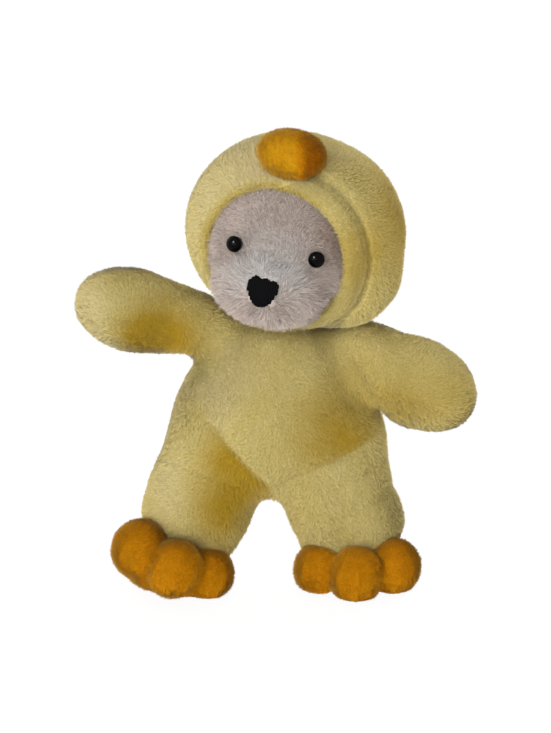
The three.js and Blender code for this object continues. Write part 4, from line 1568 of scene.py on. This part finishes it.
# %% Pile pieces
# Density, length, width, lean, jitter and curl of the blades, in the order of PILE_SIZES.
BODY_PILE = (2.45e6, 3.0 * MM, 0.55 * MM, 1.3, 0.5, -0.12)
FACE_PILE = (5.5e6, 5.5 * MM, 0.45 * MM, 1.2, 0.8, -0.1)
SMALL_PILE = (3.2e6, 2.8 * MM, 0.5 * MM, 0.8, 0.5, -0.1)
FIRST_SEED = 11
piles = {}
for number, name in enumerate(sorted(covers)):
    cover_finish, pile_finish = finishes[FINISH_OF.get(name, "yellow")]
    mesh = covers[name].data
    mesh.materials.clear()
    mesh.materials.append(cover_finish)
    shade_smooth(mesh)
    sizes = FACE_PILE if name == "face" else SMALL_PILE if name in FINISH_OF else BODY_PILE
    piles[name] = grow(covers[name], name + "_pile", pile_finish, FIRST_SEED + number, sizes)
print("blades in all:", sum(len(pile.data.polygons) for pile in piles.values()))

# %% [markdown]
# ## Eyes
# Safety eyes are glossy domes pressed on from outside, held by a washer on a shank within. A lathe of a
# dozen rings gives a dome with a small rounded edge, and a smooth finish gives it a sharp highlight.

# %% Eyes
DOME_RINGS = 12
DOME_SIDES = 32
DOME_FOOT = ((0.8, -4 * MM), (0.97, -0.5 * MM))  # share of the radius, and height, within the fur
EYE_FULL = 1.07  # of its solid, as the dome overlaps the fur round it
SMEAR_SCALE = 420.0


def plastic(name, shade, roughness, gloss):
    material, tree = new_material(name)
    smear = tree.noise(tree.node("ShaderNodeTexCoord", {}, {}, 3), SMEAR_SCALE)
    rough = smear * roughness + roughness * 0.5
    sockets = {"Base Color": shade, "Roughness": rough, "Specular IOR Level": gloss}
    tree.finish("ShaderNodeBsdfPrincipled", sockets)
    return material


def dome(name, place, radius, height):
    turn = np.linspace(0, 2 * np.pi, DOME_SIDES, endpoint=False)
    profile = [(radius * share, z) for share, z in DOME_FOOT]
    for step in range(DOME_RINGS):
        angle = step / DOME_RINGS * math.pi / 2
        profile.append((radius * math.cos(angle), height * math.sin(angle)))
    rows = [np.stack([r * np.cos(turn), r * np.sin(turn), np.full(DOME_SIDES, z)], 1) for r, z in profile]
    places = from_place(place, np.concatenate(rows + [np.array([[0, 0, height]])]))
    faces = [tuple(range(DOME_SIDES))[::-1]] + ring_faces(len(rows), DOME_SIDES)
    faces += fan_faces(len(rows) - 1, DOME_SIDES)
    piece = mesh_object(name, places, [], faces)
    shade_smooth(piece.data)
    return piece


eye_black = plastic("eye_black", colour(3, 3, 3), 0.05, 0.06)
washer_white = plastic("washer_white", colour(230, 228, 220), 0.4, 0.5)
eyes = {}
for side, eye_place in zip(SIDES, eye_places):
    outward = Vector(np.array(eye_place) / HEAD_SIZE**2).normalized()
    place = Matrix.Translation(eye_place) @ outward.to_track_quat("Z", "Y").to_matrix().to_4x4()
    eyes[side] = dome(f"eye_{side}_dome", head_place @ place, EYE_RADIUS * EYE_FULL, EYE_DOME)
    eyes[side].data.materials.append(eye_black)
    washer = nodes["eye_washer_" + side]
    washer.data.materials.clear()
    washer.data.materials.append(washer_white)
print("eyes:", sorted(eyes))

# %% [markdown]
# ## Nose and chick eyes
# The nose is a shield of satin stitches: strands of thick black thread laid side by side over the muzzle,
# their upper ends uneven. The chick's eyes are a few short stitches. A tree turns lines drawn on the surface
# into thread.

# %% Thread tree
THREAD_SIDES = 8
THREAD_TWIST = 1500.0
THREAD_DARK = colour(4, 4, 5)
THREAD_LIGHT = colour(14, 14, 16)
THREAD_BUMP = {"Strength": 0.5, "Distance": 0.3 * MM}
THREAD_GLOSS = 0.03


def make_thread_tree():
    inputs = {"Radius": "Float", "Material": "Material"}
    make, (lines, radius, material) = new_node_group("lay_thread", inputs)
    swell = make.node("GeometryNodeInputNamedAttribute", {"data_type": "FLOAT"}, {"Name": "swell"})
    strands = make.node("GeometryNodeMeshToCurve", {}, {"Mesh": lines})
    strands = make.node("GeometryNodeSetCurveRadius", {}, {"Curve": strands, "Radius": swell})
    ring = make.node("GeometryNodeCurvePrimitiveCircle", {}, {"Resolution": THREAD_SIDES, "Radius": radius})
    sweep = {"Curve": strands, "Profile Curve": ring, "Scale": swell, "Fill Caps": True}
    tube = make.node("GeometryNodeCurveToMesh", {}, sweep)
    return end_node_group(make, tube, material)


def thread_finish():
    material, tree = new_material("black_thread")
    twist = tree.noise(tree.node("ShaderNodeTexCoord", {}, {}, 3), THREAD_TWIST)
    shade = tree.mix(twist, THREAD_DARK, THREAD_LIGHT)
    bump = tree.node("ShaderNodeBump", {}, {"Height": twist, **THREAD_BUMP})
    sockets = {"Base Color": shade, "Roughness": 0.8, "Specular IOR Level": THREAD_GLOSS, "Normal": bump}
    tree.finish("ShaderNodeBsdfPrincipled", sockets)
    return material


thread_tree = make_thread_tree()
black_thread = thread_finish()
print("thread tree:", len(thread_tree.nodes), "nodes")

# %% Nose
STRAND_POINTS = 15
BLUNT = 0.04  # share of the thread's thickness that is left at its very end
NOSE_HALF = 7.6 * MM
NOSE_THREAD = 1.15 * MM
NOSE_LIFT = 1.6 * MM  # of the thread, off the cover
# How far each strand goes up from the nose's middle, in millimetres, and how far the shield goes down.
NOSE_TOPS = (5.0, 6.2, 6.9, 6.7, 6.2, 5.9, 6.3, 6.5, 6.1, 5.5, 5.9, 5.6, 4.6)
NOSE_BOTTOM_SIDE = 1.2
NOSE_BOTTOM_MORE = 7.2
NOSE_BOTTOM_CURVE = 2.3
IN_FRONT = -0.12  # of the head's middle, from where lines are cast at the face


def strand_steps(count):
    """Shares of a strand's length, closer together at its ends."""
    return (1 - np.cos(np.linspace(0, np.pi, count))) / 2


def lay_thread(name, strands, radius):
    """Thread along strands, each an array of places, with rounded ends."""
    count = len(strands[0])
    starts = [row * count + step for row in range(len(strands)) for step in range(count - 1)]
    piece = mesh_object(name, np.concatenate(strands), [(start, start + 1) for start in starts], [])
    swell = []
    for strand in strands:
        length = np.linalg.norm(strand[-1] - strand[0])
        from_end = np.minimum(strand_steps(count), 1 - strand_steps(count)) * length
        swell.append(np.sqrt(1 - (1 - np.clip(from_end / radius + BLUNT, 0, 1)) ** 2))
    paint(piece.data, "swell", "FLOAT", "POINT", np.concatenate(swell))
    through_tree(piece, thread_tree, {"Radius": radius, "Material": black_thread})
    shade_smooth(piece.data)
    return piece


def onto(search, place, direction, lift):
    """Where a line from a place meets a cover, lifted off it."""
    near, normal, _, _ = search.ray_cast(Vector(place), Vector(direction))
    return np.array(near + normal * lift)


face_search = tree_of(covers["face"])
backward = np.array(head_place)[:3, 1]
strands = []
for across, top in zip(np.linspace(-1, 1, len(NOSE_TOPS)), NOSE_TOPS):
    x = across * NOSE_HALF + FACE_ASIDE
    bottom = -NOSE_BOTTOM_SIDE - NOSE_BOTTOM_MORE * (1 - abs(across) ** NOSE_BOTTOM_CURVE)
    heights = (top + (bottom - top) * strand_steps(STRAND_POINTS)) * MM + NOSE_Z
    starts = [from_place(head_place, np.array((x, IN_FRONT, z))) for z in heights]
    strands.append(np.array([onto(face_search, start, backward, NOSE_LIFT) for start in starts]))
nose = lay_thread("nose_threads", strands, NOSE_THREAD)
print("nose:", len(strands), "strands")

# %% Chick eyes
CHICK_STITCHES = {-1: 1.4 * MM, 0: 1.9 * MM, 1: 1.4 * MM}  # half the length of each, by its place in the row
CHICK_PITCH = 1.1 * MM
CHICK_POINTS = 9
CHICK_THREAD = 0.75 * MM
CHICK_LIFT = 1.9 * MM
CHICK_ABOVE = 10 * MM  # the hood, from where lines are cast at it

hood_search = tree_of(covers["hood"])
chick_eyes = {}
for side in SIDES:
    low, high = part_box("chick_eye_" + side)
    middle = np.array((low + high) / 2)
    towards = np.array(head_place.translation) - middle
    towards /= np.linalg.norm(towards)
    aside = np.cross(towards, (0, 0, 1))
    aside /= np.linalg.norm(aside)
    onward = np.cross(aside, towards)
    strands = []
    for step, half in CHICK_STITCHES.items():
        start = middle - towards * CHICK_ABOVE + aside * step * CHICK_PITCH
        spots = [start + onward * share * half for share in strand_steps(CHICK_POINTS) * 2 - 1]
        strands.append(np.array([onto(hood_search, spot, towards, CHICK_LIFT) for spot in spots]))
    chick_eyes[side] = lay_thread(f"chick_eye_{side}_threads", strands, CHICK_THREAD)
print("chick eyes:", sorted(chick_eyes))

# %% [markdown]
# ## What moves with what
# Each cover and its pile follow one body, but the limbs' covers and piles stay unparented where they are.
# Every stuffed cover hides the solids of its cloth and its stuffing.

# %% Bodies
STANDS_FOR = {
    "torso": ("torso_front_panel", "torso_back_panel", "torso_stuffing"),
    "neck": NECK_NODES,
    "hood": HOOD_PANELS,
    "face": FACE_NODES,
    "bill": BILL_NODES,
    "foot_left": foot_nodes["left"],
    "foot_right": foot_nodes["right"],
}
STANDS_FOR.update(limb_nodes)
BODY_OF = {
    "hood": "head",
    "face": "head",
    "bill": "head",
    "foot_left": "leg_left",
    "foot_right": "leg_right",
}
for form in forms.values():
    bpy.data.objects.remove(form)
for name, cover in covers.items():
    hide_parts(*STANDS_FOR[name])
    for piece in (cover, piles[name]):
        FINISH_OF.get(name, "yellow") + "_plush"
        if name in LIMBS:
            start, end = cuts[name]
            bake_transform(piece)
        else:
            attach(piece, BODY_OF.get(name, name))
for side in SIDES:
    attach(eyes[side], "head")
    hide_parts("eye_" + side)
    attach(chick_eyes[side], "head")
    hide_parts("chick_eye_" + side)
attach(nose, "head")
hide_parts("nose_stitching")
print("covers:", len(covers), "piles:", len(piles))

# %% Size
visual_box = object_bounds()
sizes = {"cad": cad_box, "visual": visual_box}
for name, (low, high) in sizes.items():
    print(name, [round(value / MM, 1) for value in low], [round(value / MM, 1) for value in high])
